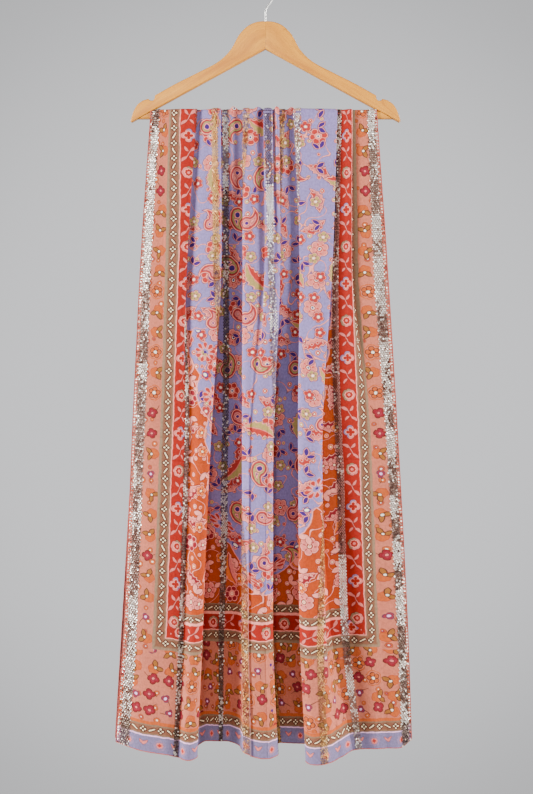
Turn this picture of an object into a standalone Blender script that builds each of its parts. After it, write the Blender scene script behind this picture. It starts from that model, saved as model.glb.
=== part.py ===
"""A dupatta stole folded over the trouser bar of a wooden clothes hanger.

Metres, +Z up, the stole's front towards -Y. The origin is the point of the hook that
lies on the rail, so the whole part hangs below it.
"""
import math
from collections import namedtuple

import bmesh
import bpy
import numpy as np

MM = 0.001
GAP = 0.3 * MM  # between pieces that touch

# ---------------------------------------------------------------- hanger
HOOK_WIRE = 3.2 * MM
HOOK_BEND = 23.6 * MM  # radius of the bow, to the wire's centreline
HOOK_TIP_ANGLE = math.radians(203)  # where the bow ends, from +X
RAIL_TO_WOOD = 83.8 * MM  # from the rail down to the top of the wood
NECK_RISE = 20.0 * MM  # straight wire above the wood
SHANK_IN_WOOD = 24.0 * MM
ARM_THICKNESS = 12.0 * MM
ARM_EDGE_ROUND = 2.2 * MM
ARM_HALF_SPAN = 221.5 * MM
ARM_MID_HEIGHT = 45.5 * MM  # height of the wood at the mitre
ARM_FALL = 0.547  # slope of the straight underside
BAR_DEPTH = 10.0 * MM
BAR_HEIGHT = 14.0 * MM
BAR_TOP = -230.0 * MM
BAR_ROUND = BAR_DEPTH / 2  # the top of the bar is a half circle

WOOD_TOP = -RAIL_TO_WOOD
UNDERSIDE_APEX = WOOD_TOP - ARM_MID_HEIGHT
BAR_AXIS = BAR_TOP - BAR_ROUND  # centre of the bar's round top; the falls start at this height

# Top edge of an arm, from the mitre outwards: out from the middle, down from the wood's top, in mm.
ArmPoint = namedtuple("ArmPoint", "out down")
ARM_TOP_EDGE = [
    ArmPoint(0, 0),
    ArmPoint(14, 1.3),
    ArmPoint(28, 7.2),
    ArmPoint(42.5, 21.3),
    ArmPoint(57.3, 47.1),
    ArmPoint(76.4, 65.7),
    ArmPoint(113, 85.4),
    ArmPoint(148, 103),
    ArmPoint(181.3, 121.7),
]
NOTCH = [ArmPoint(182.0, 127.0), ArmPoint(184.5, 130.2), ArmPoint(189.0, 130.0), ArmPoint(192.1, 127.3)]
ARM_TIP = [ArmPoint(201, 130), ArmPoint(209.7, 136.6), ArmPoint(215.6, 146), ArmPoint(219.6, 157),
           ArmPoint(ARM_HALF_SPAN / MM, 163.5)]

# ---------------------------------------------------------------- cloth
CLOTH_WIDTH = 720.0  # flat width from edge to edge, mm
WALL = 1.0  # mm
LEVELS = (0.0, 223.0, 549.0, 825.0, 1035.0)  # drop below the bar's axis of the five levels, mm
FRONT_LENGTH = LEVELS[-1]
BACK_LENGTH = 1023.0
CREST_PRESS = 0.76  # how much of a gather's height stays on top of the bar
TUCK_LEFT, TUCK_RIGHT = 24.0, 714.0  # flat places where the stretch on the bar ends, under the arms

# A lengthwise fold runs from the bar to the hem. At its edge the cloth turns and goes back
# behind the panel before it comes out again on a lower layer.
#   over: +1 where the panel on its left lies on top, -1 where the panel on its right does,
#         0 where the row is only a dip, one place that the cloth passes through at its lift
#   flat: the edge's place on the flat cloth; x: where the edge is; both mm
#   lift, low: how far the upper and lower layers stand off the bar's plane
#   lap: how far the hidden layer goes back; below zero the fold has opened into a slope
Fold = namedtuple("Fold", "name over flat x lift low lap")
NONE = (0, 0, 0, 0, 0)
FRONT_FOLDS = [
    Fold("border", +1, (94, 90, 90, 90, 90), (-112, -127, -140, -149, -158),
         (6.8, 13, 26, 35, 43), (1.2, 6, 22, 31, 39), (17, 10, -14, -14, -14)),
    Fold("panel_left", +1, (173, 172, 143, 141, 140), (-73, -72, -90, -101, -110),
         (6.8, 15, 31, 44, 54), (1.2, 2.5, 4, 6, 8), (14, 19, 24, 12, 2)),
    Fold("lobe_left", -1, (289, 301, 302, 294, 292), (-37, -37, -38, -38, -36),
         (6.8, 16, 31, 42, 52), (1.2, 2.5, 4, 6, 8), (15, 17, 14, 2, -6)),
    Fold("gather", -1, (353, 340, 328, 328, 328), (-3, -4, -11, -8, -5),
         (7.2, 18, 33, 44, 55), (1.8, 12, 29, 40, 51), (9, -10, -10, -10, -10)),
    Fold("lobe_right", +1, (388, 375, 353, 354, 355), (22, 24, 13, 12, 20),
         (7.2, 15, 32, 43, 54), (1.2, 3, 4, 6, 8), (10, 27, 16, 12, 8)),
    Fold("panel_right", -1, (483, 495, 517, 519, 520), (46, 55, 53, 55, 65),
         (6.8, 13, 32, 43, 54), (1.2, 3, 4, 6, 8), (15, 15, 20, 22, 18)),
    Fold("row_fold", +1, (545, 547, 547, 562, 570), (117, 110, 92, 97, 112),
         (6.8, 14, 29, 42, 50), (1.2, 6, 10, 14, 24), (28, 26, 9, -6, -20)),
    Fold("row_dip", 0, (617, 617, 617, 617, 617), (124, 118, 118, 130, 152),
         (1.6, 8, 11, 13, 20), NONE, NONE),
    Fold("band_fold", +1, (650, 653, 661, 661, 661), (142, 141, 161, 173, 184),
         (6.8, 12, 18, 22, 25), (1.2, 9, 15, 19, 22), (9, -6, -12, -12, -12)),
]
# The back fall leaves the bar with the same gathers; these are its other four levels.
FLAT_DIP = (0, 0, 0, 0)
BACK_FOLDS = [
    Fold("border", +1, (90, 90, 90, 90), (-128, -146, -156, -165),
         (12, 24, 32, 38), (6, 20, 28, 34), (8, -14, -14, -14)),
    Fold("panel_left", +1, (167, 147, 143, 141), (-78, -98, -108, -118),
         (14, 30, 40, 48), (3, 5, 7, 9), (16, 14, 4, -6)),
    Fold("lobe_left", -1, (300, 303, 296, 292), (-44, -40, -44, -48),
         (15, 32, 42, 50), (3, 5, 7, 9), (26, 22, 14, 8)),
    Fold("gather", -1, (338, 328, 323, 320), (-8, -14, -16, -18),
         (17, 33, 43, 52), (12, 29, 39, 48), (-10, -10, -10, -10)),
    Fold("lobe_right", +1, (377, 352, 350, 349), (20, 10, 8, 8),
         (15, 32, 42, 50), (3, 5, 7, 9), (22, 14, 10, 4)),
    Fold("panel_right", -1, (493, 514, 514, 514), (52, 58, 62, 66),
         (13, 33, 42, 50), (3, 5, 7, 9), (15, 22, 22, 16)),
    Fold("row_fold", +1, (548, 552, 561, 570), (108, 102, 108, 118),
         (13, 30, 38, 46), (5, 11, 14, 22), (25, 6, -4, -18)),
    Fold("row_dip", 0, (617, 617, 617, 617), (118, 126, 136, 150),
         (8, 12, 15, 20), FLAT_DIP, FLAT_DIP),
    Fold("band_fold", +1, (652, 661, 661, 661), (140, 160, 168, 178),
         (11, 18, 22, 26), (9, 15, 19, 23), (-6, -12, -12, -12)),
]
# The two selvedges: where they are and how far they stand off, at the five levels.
Selvedge = namedtuple("Selvedge", "flat x off")
FRONT_SELVEDGES = [
    Selvedge(0, (-188, -203, -218, -229, -243), (1.2, 4, 12, 16, 20)),
    Selvedge(CLOTH_WIDTH, (182, 197, 216, 230, 237), (1.2, 9, 17, 21, 24)),
]
BACK_SELVEDGES = [
    Selvedge(0, (-188, -200, -220, -237, -250), (1.2, 4, 12, 16, 20)),
    Selvedge(CLOTH_WIDTH, (182, 194, 210, 222, 229), (1.2, 8, 15, 18, 20)),
]
# How much each panel swells out between its two folds, at the five levels, left to right.
PANEL_CROWNS = [
    (0, 4, 8, 10, 12), (1, 2, 3, 4, 4), (0, 0, 1, 1, 2), (0, 1, 2, 2, 2), (0, 0, 1, 1, 1),
    (0, 0, 1, 2, 3), (0, 1, 2, 3, 4), (0, 0, 0, 0, 0), (1, 1, 2, 2, 2), (0, 2, 4, 5, 6),
]
# How much lower than straight the hem hangs at some places of the flat width, mm.
HemDrop = namedtuple("HemDrop", "flat drop")
FRONT_HEM = [
    HemDrop(0, -10), HemDrop(60, 2), HemDrop(125, 12), HemDrop(190, -9), HemDrop(240, -9),
    HemDrop(325, 9), HemDrop(360, 4), HemDrop(430, -6), HemDrop(500, -3), HemDrop(540, 19),
    HemDrop(565, 17), HemDrop(625, 2), HemDrop(690, -2), HemDrop(CLOTH_WIDTH, -15),
]
BACK_HEM = [
    HemDrop(0, 7), HemDrop(60, 5), HemDrop(125, 12), HemDrop(190, -8), HemDrop(240, -8),
    HemDrop(325, 10), HemDrop(360, 5), HemDrop(430, -8), HemDrop(500, -2), HemDrop(545, 14),
    HemDrop(575, 9), HemDrop(625, 0), HemDrop(690, 2), HemDrop(CLOTH_WIDTH, -8),
]
FRONT_ROWS, BACK_ROWS, BAR_ROWS = 20, 15, 6
PANEL_STEPS = 1  # columns between two control points of a panel
CLEAR_OF_EDGE = 1.5  # mm that a lower layer comes out from under an edge before it rises


def monotone(knots, values, places):
    """A smooth curve through the values that never overshoots them."""
    knots, values, places = (np.asarray(a, float) for a in (knots, values, places))
    steps = np.diff(knots)
    slopes = np.diff(values) / steps
    bends = np.zeros(len(knots))
    bends[0], bends[-1] = slopes[0], slopes[-1]
    same_way = slopes[:-1] * slopes[1:] > 0
    total = np.where(same_way, slopes[:-1] + slopes[1:], 1.0)
    bends[1:-1] = np.where(same_way, 2 * slopes[:-1] * slopes[1:] / total, 0.0)
    cell = np.clip(np.searchsorted(knots, places, side="right") - 1, 0, len(steps) - 1)
    t = np.clip((places - knots[cell]) / steps[cell], 0, 1)
    h = steps[cell]
    return ((1 + 2 * t) * (1 - t) ** 2 * values[cell] + t * (1 - t) ** 2 * h * bends[cell]
            + t * t * (3 - 2 * t) * values[cell + 1] + t * t * (t - 1) * h * bends[cell + 1])


def spline(points, steps):
    """A centripetal Catmull-Rom curve through 2D points, with steps[i] parts between i and i + 1.

    Returns the curve's points and its unit tangents."""
    ends = np.vstack([2 * points[0] - points[1], points, 2 * points[-1] - points[-2]])
    knots = np.concatenate([[0], np.cumsum(np.sqrt(np.linalg.norm(np.diff(ends, axis=0), axis=1)) + 1e-6)])
    place, tangent = [], []
    for i, parts in enumerate(steps):
        p0, p1, p2, p3 = ends[i:i + 4]
        k0, k1, k2, k3 = knots[i:i + 4]
        m1 = (k2 - k1) * ((p1 - p0) / (k1 - k0) - (p2 - p0) / (k2 - k0) + (p2 - p1) / (k2 - k1))
        m2 = (k2 - k1) * ((p2 - p1) / (k2 - k1) - (p3 - p1) / (k3 - k1) + (p3 - p2) / (k3 - k2))
        last = i == len(steps) - 1
        for t in np.arange(parts + last) / parts:
            place.append((2 * t ** 3 - 3 * t * t + 1) * p1 + (t ** 3 - 2 * t * t + t) * m1
                         + (3 * t * t - 2 * t ** 3) * p2 + (t ** 3 - t * t) * m2)
            tangent.append((6 * t * t - 6 * t) * (p1 - p2) + (3 * t * t - 4 * t + 1) * m1
                           + (3 * t * t - 2 * t) * m2)
    tangent = np.array(tangent)
    return np.array(place), tangent / np.linalg.norm(tangent, axis=1)[:, None]


def fold_controls(fold, x, lift, low, lap):
    """The control points of one fold, left to right along the cloth, and the edge's index."""
    if fold.over == 0:
        return [(x, lift)], 0
    depth = lift - low
    reach = 2.5 + 0.22 * depth  # how far the turn's roundness reaches along the layers
    points = [
        (x - reach, lift),
        (x, lift - 0.25 * depth),
        (x - min(lap / 3, reach), lift - 0.45 * depth),
        (x - max(2 * lap / 3, lap - reach), low + 0.45 * depth),
        (x - lap, low + 0.25 * depth),
        (x - lap + reach, low),
        (max(x, x - lap + reach) + CLEAR_OF_EDGE, low),
    ]
    if fold.over > 0:
        return points, 1
    return [(2 * x - px, off) for px, off in reversed(points)], len(points) - 2


def section(folds, selvedges, crowns, level_of):
    """One level's section: control points (x, off), spline steps and the flat places of the edges."""
    points, marks = [], []
    left, right = selvedges
    points.append((level_of(left.x), level_of(left.off)))
    marks.append((0, left.flat))
    steps = []
    for fold, crown in zip(folds, crowns):
        bend, edge = fold_controls(
            fold, level_of(fold.x), level_of(fold.lift), level_of(fold.low), level_of(fold.lap))
        swell(points, bend[0], level_of(crown), steps)
        marks.append((len(points) + edge, level_of(fold.flat)))
        points.extend(bend)
        steps.extend([1] * (len(bend) - 1))
    end = (level_of(right.x), level_of(right.off))
    swell(points, end, level_of(crowns[-1]), steps)
    marks.append((len(points), right.flat))
    points.append(end)
    return np.array(points), steps, marks


def swell(points, to, crown, steps):
    """Adds the middle point of a panel, from the last point to another, swelling out by the crown."""
    x, off = points[-1]
    points.append(((x + to[0]) / 2, (off + to[1]) / 2 + crown))
    steps.extend([PANEL_STEPS, PANEL_STEPS])


def flat_places(points, steps, marks):
    """The flat width's place of each point of a section, by its length between the marked edges."""
    length = np.concatenate([[0], np.cumsum(np.linalg.norm(np.diff(points, axis=0), axis=1))])
    starts = np.concatenate([[0], np.cumsum(steps)]).astype(int)
    at = [length[starts[index]] for index, flat in marks]
    return np.interp(length, at, [flat for index, flat in marks])


def fall_section(folds, selvedges, drop):
    """Points (x, off), normals and flat places of a fall's section at a drop below the bar's axis."""
    points, steps, marks = section(
        folds, selvedges, PANEL_CROWNS, lambda values: float(monotone(LEVELS, values, [drop])[0]))
    place, tangent = spline(points, steps)
    normal = np.column_stack([-tangent[:, 1], tangent[:, 0]])
    return place, normal, flat_places(place, steps, marks)


def row_drops(length, rows):
    """Drops of a fall's rows, closer together near the bar, where the gathers open."""
    t = np.linspace(0, 1, rows)
    return length * (0.55 * t + 0.45 * t * t)


def fall_sheets(folds, selvedges, hem, length, rows, front):
    """The two faces of a fall's wall, as grids of points (row, column, xyz) in metres."""
    outer, inner = [], []
    for drop in row_drops(length, rows):
        place, normal, flat = fall_section(folds, selvedges, drop)
        sag = monotone([h.flat for h in hem], [h.drop for h in hem], flat) * (drop / length) ** 1.5
        z = BAR_AXIS / MM - GAP / MM / 2 - drop - sag * (drop > 0)
        for face, side in ((outer, 0.5), (inner, -0.5)):
            moved = place + side * WALL * normal
            y = BAR_DEPTH / MM / 2 + moved[:, 1]
            face.append(np.column_stack([moved[:, 0], -y if front else y, z]))
    return np.array(outer) * MM, np.array(inner) * MM


def bar_sheets(folds, selvedges):
    """The two faces of the stretch that lies on the bar, from its front to its back."""
    place, normal, flat = fall_section(folds, selvedges, 0.0)
    keep = np.flatnonzero((flat >= TUCK_LEFT) & (flat <= TUCK_RIGHT))
    outer, inner = [], []
    margin = math.asin(GAP / 2 / BAR_ROUND)
    for turn in np.linspace(margin, math.pi - margin, BAR_ROWS):
        press = 1 - (1 - CREST_PRESS) * math.sin(turn) ** 2
        for face, side in ((outer, 0.5), (inner, -0.5)):
            moved = place[keep] * (1, press) + (0, LAYER_LOW * (1 - press)) + side * WALL * normal[keep]
            radius = BAR_ROUND / MM + moved[:, 1]
            face.append(np.column_stack([
                moved[:, 0], -radius * math.cos(turn), BAR_AXIS / MM + radius * math.sin(turn)]))
    return np.array(outer) * MM, np.array(inner) * MM


LAYER_LOW = FRONT_FOLDS[0].low[0]


# ---------------------------------------------------------------- making
def clear_scene():
    for obj in list(bpy.data.objects):
        bpy.data.objects.remove(obj, do_unlink=True)


def material(name, colour, roughness, metallic=0.0):
    mat = bpy.data.materials.new(name)
    mat.use_nodes = True
    shader = mat.node_tree.nodes["Principled BSDF"]
    shader.inputs["Base Color"].default_value = (*colour, 1.0)
    shader.inputs["Roughness"].default_value = roughness
    shader.inputs["Metallic"].default_value = metallic
    mat.diffuse_color = (*colour, 1.0)
    return mat


def add_object(name, data, mat):
    obj = bpy.data.objects.new(name, data)
    bpy.context.scene.collection.objects.link(obj)
    data.materials.append(mat)
    return obj


def add_bmesh(name, bm, mat, smooth_angle=40):
    bmesh.ops.recalc_face_normals(bm, faces=bm.faces)
    mesh = bpy.data.meshes.new(name)
    bm.to_mesh(mesh)
    bm.free()
    mesh.shade_smooth()
    mesh.set_sharp_from_angle(angle=math.radians(smooth_angle))
    return add_object(name, mesh, mat)


def wall(name, faces, mat):
    """A closed wall between two grids of points, with both faces cut along the same diagonals."""
    outer, inner = faces
    rows, columns = outer.shape[:2]
    bm = bmesh.new()
    grids = [[[bm.verts.new(p) for p in row] for row in grid] for grid in (outer, inner)]
    for r in range(rows - 1):
        for c in range(columns - 1):
            for grid in grids:
                a, b, d, e = grid[r][c], grid[r][c + 1], grid[r + 1][c + 1], grid[r + 1][c]
                bm.faces.new((a, b, d))
                bm.faces.new((a, d, e))
    rim = [(0, c) for c in range(columns)] + [(r, columns - 1) for r in range(1, rows)]
    rim += [(rows - 1, c) for c in range(columns - 2, -1, -1)] + [(r, 0) for r in range(rows - 2, 0, -1)]
    for (r1, c1), (r2, c2) in zip(rim, rim[1:] + rim[:1]):
        bm.faces.new((grids[0][r1][c1], grids[0][r2][c2], grids[1][r2][c2], grids[1][r1][c1]))
    bmesh.ops.triangulate(bm, faces=[f for f in bm.faces if len(f.verts) == 4])
    return add_bmesh(name, bm, mat, 60)


def arm_outline():
    """An arm's outline in (out, z), from the top of the mitre round to its foot."""
    edge = np.array(ARM_TOP_EDGE, float)
    curve = spline(edge, [3] * (len(edge) - 1))[0]
    points = [*map(tuple, curve), *NOTCH, *ARM_TIP]
    outline = [(out * MM, WOOD_TOP - down * MM) for out, down in points]
    foot = ARM_HALF_SPAN - 1.5 * MM
    outline.append((foot, underside(foot)))
    outline.append((0.0, UNDERSIDE_APEX))
    return [(max(out, GAP / 2), z) for out, z in outline]


def underside(x):
    """Height of the arms' straight underside."""
    return UNDERSIDE_APEX - ARM_FALL * abs(x)


def make_arm(name, side, mat, bore):
    outline = arm_outline()
    bm = bmesh.new()
    front = [bm.verts.new((side * out, -ARM_THICKNESS / 2, z)) for out, z in outline]
    face = bm.faces.new(front)
    back = bmesh.ops.extrude_face_region(bm, geom=[face])
    moved = [v for v in back["geom"] if isinstance(v, bmesh.types.BMVert)]
    bmesh.ops.translate(bm, verts=moved, vec=(0, ARM_THICKNESS, 0))
    weights = bm.edges.layers.float.new("bevel_weight_edge")
    for edge in bm.edges:
        a, b = (v.co for v in edge.verts)
        across = abs(a.y - b.y) > ARM_THICKNESS / 2
        at_mitre = max(abs(a.x), abs(b.x)) < GAP
        edge[weights] = 0.0 if across or at_mitre else 1.0
    arm = add_bmesh(name, bm, mat)
    bevel = arm.modifiers.new("rounded_edges", "BEVEL")
    bevel.width = ARM_EDGE_ROUND
    bevel.segments = 2
    bevel.limit_method = "WEIGHT"
    cut = arm.modifiers.new("hook_hole", "BOOLEAN")
    cut.operation = "DIFFERENCE"
    cut.object = bore
    return arm


def make_bore():
    """The cutter of the hole that takes the hook's shank, half in each arm."""
    bm = bmesh.new()
    deep = SHANK_IN_WOOD + 2 * GAP
    bmesh.ops.create_cone(bm, cap_ends=True, segments=16, radius1=HOOK_WIRE / 2 + 2 * GAP,
                          radius2=HOOK_WIRE / 2 + 2 * GAP, depth=2 * deep)
    bmesh.ops.translate(bm, verts=bm.verts, vec=(0, 0, WOOD_TOP))
    bore = add_bmesh("hook_bore_cutter", bm, material("cutter", (0.5, 0.5, 0.5), 0.5))
    bore.hide_render = True
    bore.display_type = "WIRE"
    return bore


def make_bar(mat):
    """The trouser bar: round on top, its ends cut to the arms' undersides."""
    half, foot_round = BAR_DEPTH / 2, 3.0 * MM
    profile = [(half * math.cos(a), BAR_AXIS + half * math.sin(a)) for a in np.linspace(0, math.pi, 9)]
    base = BAR_TOP - BAR_HEIGHT
    for centre, start in ((-half + foot_round, math.pi), (half - foot_round, 1.5 * math.pi)):
        profile += [(centre + foot_round * math.cos(a), base + foot_round + foot_round * math.sin(a))
                    for a in np.linspace(start, start + math.pi / 2, 4)]
    slope_gap = 2 * GAP / ARM_FALL
    bm = bmesh.new()
    rings = []
    for side in (-1, 1):
        rings.append([bm.verts.new((side * ((UNDERSIDE_APEX - z) / ARM_FALL - slope_gap), y, z))
                      for y, z in profile])
    bm.faces.new(rings[0])
    bm.faces.new(rings[1])
    for i in range(len(profile)):
        j = (i + 1) % len(profile)
        bm.faces.new((rings[0][i], rings[0][j], rings[1][j], rings[1][i]))
    return add_bmesh("trouser_bar", bm, mat)


def hook_path():
    """The wire's centreline: up out of the wood, leaning over, then round the bow."""
    centre = HOOK_WIRE / 2 - HOOK_BEND
    neck = WOOD_TOP + NECK_RISE
    lean = math.asin(HOOK_BEND / (centre - neck))  # the lean that meets the bow without a kink
    corner = 7.0 * MM  # how far the neck's bend reaches
    points = [(0.0, WOOD_TOP - SHANK_IN_WOOD), (0.0, WOOD_TOP), (0.0, neck - corner)]
    for t in (0.25, 0.5, 0.75, 1.0):
        points.append((corner * t * t * math.sin(lean),
                       neck - corner * (1 - t) ** 2 + corner * t * t * math.cos(lean)))
    for a in np.linspace(-lean, HOOK_TIP_ANGLE, 22):
        points.append((HOOK_BEND * math.cos(a), centre + HOOK_BEND * math.sin(a)))
    x, z = points[-1]
    points.append((x - 2.5 * MM, z - 5.5 * MM))
    return points


def make_hook(mat):
    curve = bpy.data.curves.new("hook", "CURVE")
    curve.dimensions = "3D"
    curve.bevel_depth = HOOK_WIRE / 2
    curve.bevel_resolution = 2
    curve.use_fill_caps = True
    points = hook_path()
    line = curve.splines.new("POLY")
    line.points.add(len(points) - 1)
    for point, (x, z) in zip(line.points, points):
        point.co = (x, 0.0, z, 1.0)
    return add_object("hook", curve, mat)


def with_top(folds, tops):
    """The back's folds with the front's top level put before their own four."""
    joined = []
    for own, top in zip(folds, tops):
        columns = [(t[0], *o) for o, t in zip(own[2:], top[2:])]
        joined.append(Fold(own.name, own.over, *columns))
    return joined


def main():
    clear_scene()
    wood = material("beech", (0.74, 0.44, 0.18), 0.45)
    steel = material("steel", (0.72, 0.72, 0.72), 0.25, 1.0)
    cloth = material("printed_cloth", (0.55, 0.42, 0.55), 0.8)

    bore = make_bore()
    make_arm("hanger_arm_left", -1, wood, bore)
    make_arm("hanger_arm_right", 1, wood, bore)
    make_bar(wood)
    make_hook(steel)

    back_folds = with_top(BACK_FOLDS, FRONT_FOLDS)
    wall("stole_front", fall_sheets(FRONT_FOLDS, FRONT_SELVEDGES, FRONT_HEM, FRONT_LENGTH, FRONT_ROWS, True),
         cloth)
    wall("stole_over_bar", bar_sheets(FRONT_FOLDS, FRONT_SELVEDGES), cloth)
    wall("stole_back", fall_sheets(back_folds, BACK_SELVEDGES, BACK_HEM, BACK_LENGTH, BACK_ROWS, False), cloth)


main()
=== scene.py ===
import math
from collections import namedtuple
from functools import partialmethod

import bmesh
import bpy
import numpy as np
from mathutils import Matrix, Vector, noise


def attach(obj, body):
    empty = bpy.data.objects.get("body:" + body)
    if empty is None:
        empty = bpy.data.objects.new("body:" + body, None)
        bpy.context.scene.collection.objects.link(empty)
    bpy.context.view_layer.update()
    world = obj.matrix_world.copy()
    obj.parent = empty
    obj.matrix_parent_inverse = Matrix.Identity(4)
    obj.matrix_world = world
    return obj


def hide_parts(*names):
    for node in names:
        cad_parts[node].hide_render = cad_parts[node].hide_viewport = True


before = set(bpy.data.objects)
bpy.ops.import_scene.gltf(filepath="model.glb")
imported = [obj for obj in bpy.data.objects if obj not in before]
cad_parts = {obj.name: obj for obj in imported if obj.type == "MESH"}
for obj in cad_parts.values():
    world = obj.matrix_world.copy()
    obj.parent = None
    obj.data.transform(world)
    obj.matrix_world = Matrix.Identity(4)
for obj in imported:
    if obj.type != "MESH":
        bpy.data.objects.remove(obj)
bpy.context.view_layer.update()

# A printed dupatta stole, folded once over the bar of a wooden hanger, with its sequins and sewn edges.
# The scene is in metres, and the tables of sizes are in millimetres.
MM = 0.001


def table(columns, *rows):
    """A table's rows, each with its columns' names."""
    return [columns(*row) for row in rows]


# ---------------------------------------------------------------- the view
CAMERA_PLACE = (1.6 * MM, -2400 * MM, -699.9 * MM)
FRAME_HEIGHT = 1303.7 * MM  # what the camera takes in at the bar, top to bottom
SENSOR = 36.0


def make_camera():
    data = bpy.data.cameras.new("camera")
    data.sensor_width = SENSOR
    data.lens = SENSOR * -CAMERA_PLACE[1] / FRAME_HEIGHT
    camera = bpy.data.objects.new("camera", data)
    camera.location = CAMERA_PLACE
    camera.rotation_euler = (math.pi / 2, 0, 0)
    bpy.context.scene.collection.objects.link(camera)
    bpy.context.scene.camera = camera


# ---------------------------------------------------------------- the cloth's folds
CLOTH_WIDTH = 720.0  # mm, as every length in this section
FRONT_LENGTH = 1035.0
BACK_LENGTH = 1023.0
CLOTH_THICKNESS = 0.45
LEVELS = (0.0, 223.0, 549.0, 825.0, 1035.0)  # drop below the bar's axis of the five levels
BAR_TOP = -230.0
BAR_ROUND = 5.0
BAR_AXIS = BAR_TOP - BAR_ROUND
CREST_PRESS = 0.12  # how much of a gather's height stays on top of the bar

# A lengthwise fold runs from the bar to the hem, and its columns give the five levels.
#   over: +1 where the panel on its left lies on top, -1 where the panel on its right does
#   flat: the edge's place on the flat cloth
#   hidden: flat cloth between the edge and where the lower layer comes out from under it
#   x, lift, low: where the edge is, and how far the upper and lower layers stand off the bar's plane
#   lap: how far the hidden layer goes back; below zero the fold has opened into a slope
Fold = namedtuple("Fold", "name over flat hidden x lift low lap")
FRONT_FOLDS = [
    Fold("border", +1, (92, 80, 79, 79, 79), (39, 35, 24, 24, 24), (-112, -127, -139, -147, -156),
         (6.8, 13, 27, 36, 44), (1.2, 6, 24, 33, 41), (17, 10, -12, -12, -12)),
    Fold("panel_left", +1, (173, 171, 141, 141, 140), (48, 50, 63, 52, 44), (-73, -72, -90, -101, -110),
         (9.4, 17, 31, 44, 54), (1.2, 2.5, 4, 6, 8), (14, 19, 24, 12, 2)),
    Fold("lobe_left", -1, (288, 301, 302, 289, 288), (31, 44, 46, 33, 30), (-37, -37, -38, -38, -36),
         (9.4, 18, 31, 42, 52), (1.2, 2.5, 4, 6, 8), (13, 17, 14, 2, -6)),
    Fold("gather", -1, (354, 350, 326, 314, 314), (34, 15, 13, 13, 13), (-3, -1, -14, -15, -11),
         (9.8, 19, 33, 44, 55), (1.8, 12, 30, 41, 52), (7, 5, -8, -8, -8)),
    Fold("pinch", +1, (367, 364, 335, 323, 323), (17, 4, 8, 6, 6), (11, 13, -5, -6, -2),
         (9.6, 19, 33, 44, 55), (2.4, 16, 32, 43, 54), (4, 1, -4, -2, -2)),
    Fold("lobe_right", +1, (395, 376, 354, 347, 350), (27, 58, 80, 87, 84), (22, 24, 13, 12, 20),
         (9.6, 16, 32, 43, 54), (5.2, 8, 4, 6, 8), (7, 24, 16, 12, 8)),
    Fold("panel_right", -1, (487, 500, 511, 527, 530), (41, 35, 37, 50, 51), (46, 55, 53, 55, 65),
         (9.0, 15, 32, 43, 54), (1.2, 3, 4, 6, 8), (15, 15, 20, 20, 16)),
    Fold("row_fold", +1, (551, 552, 551, 569, 576), (71, 69, 49, 36, 40), (117, 110, 92, 97, 112),
         (6.8, 14, 29, 42, 50), (1.2, 6, 8, 10, 20), (30, 28, 12, 2, -20)),
    Fold("band_fold", +1, (657, 656, 664, 666, 658), (15, 12, 15, 14, 14), (142, 141, 161, 173, 184),
         (6.8, 13, 18, 22, 25), (1.2, 5, 15, 20, 23), (9, 6, -10, -10, -10)),
]
# The back fall leaves the bar with the same gathers; these are its other four levels.
BACK_FOLDS = [
    Fold("border", +1, (80, 79, 80, 81), (34, 30, 29, 28), (-128, -146, -156, -165),
         (12, 24, 32, 38), (6, 20, 28, 34), (8, -14, -14, -14)),
    Fold("panel_left", +1, (167, 147, 143, 141), (44, 54, 40, 40), (-78, -98, -108, -118),
         (14, 30, 40, 48), (3, 5, 7, 9), (16, 14, 4, -6)),
    Fold("lobe_left", -1, (300, 303, 296, 292), (62, 70, 62, 54), (-44, -40, -44, -48),
         (15, 32, 42, 50), (3, 5, 7, 9), (26, 22, 14, 8)),
    Fold("gather", -1, (345, 328, 323, 320), (15, 14, 14, 14), (-3, -14, -16, -18),
         (17, 33, 43, 52), (12, 29, 39, 48), (5, -8, -8, -8)),
    Fold("pinch", +1, (360, 338, 332, 330), (4, 6, 6, 6), (10, -5, -7, -9),
         (17, 33, 43, 52), (15, 32, 42, 51), (1, -2, -2, -2)),
    Fold("lobe_right", +1, (377, 352, 350, 349), (52, 52, 52, 44), (20, 10, 8, 8),
         (15, 32, 42, 50), (3, 5, 7, 9), (22, 14, 10, 4)),
    Fold("panel_right", -1, (493, 514, 514, 514), (38, 66, 72, 68), (52, 58, 62, 66),
         (13, 33, 42, 50), (3, 5, 7, 9), (15, 22, 22, 16)),
    Fold("row_fold", +1, (548, 552, 561, 570), (64, 36, 34, 42), (108, 102, 108, 118),
         (13, 30, 38, 46), (5, 11, 14, 22), (25, 6, -4, -18)),
    Fold("band_fold", +1, (652, 661, 661, 661), (10, 16, 16, 16), (140, 160, 168, 178),
         (11, 18, 22, 26), (9, 15, 19, 23), (-2, -12, -12, -12)),
]
# A long edge of the cloth, and the flat place at the middle of the panel beside it.
Selvedge = namedtuple("Selvedge", "flat x off middle")
FRONT_SELVEDGES = [
    Selvedge(0, (-188, -203, -218, -229, -243), (1.2, 4, 12, 16, 20), (56, 44, 40, 40, 41)),
    Selvedge(CLOTH_WIDTH, (182, 197, 216, 230, 237), (1.2, 9, 17, 21, 24), (692, 692, 696, 692, 692)),
]
BACK_SELVEDGES = [
    Selvedge(0, (-188, -200, -220, -237, -250), (1.2, 4, 12, 16, 20), (56, 43, 40, 41, 42)),
    Selvedge(CLOTH_WIDTH, (182, 194, 210, 222, 229), (1.2, 8, 15, 18, 20), (692, 690, 693, 692, 692)),
]
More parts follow.
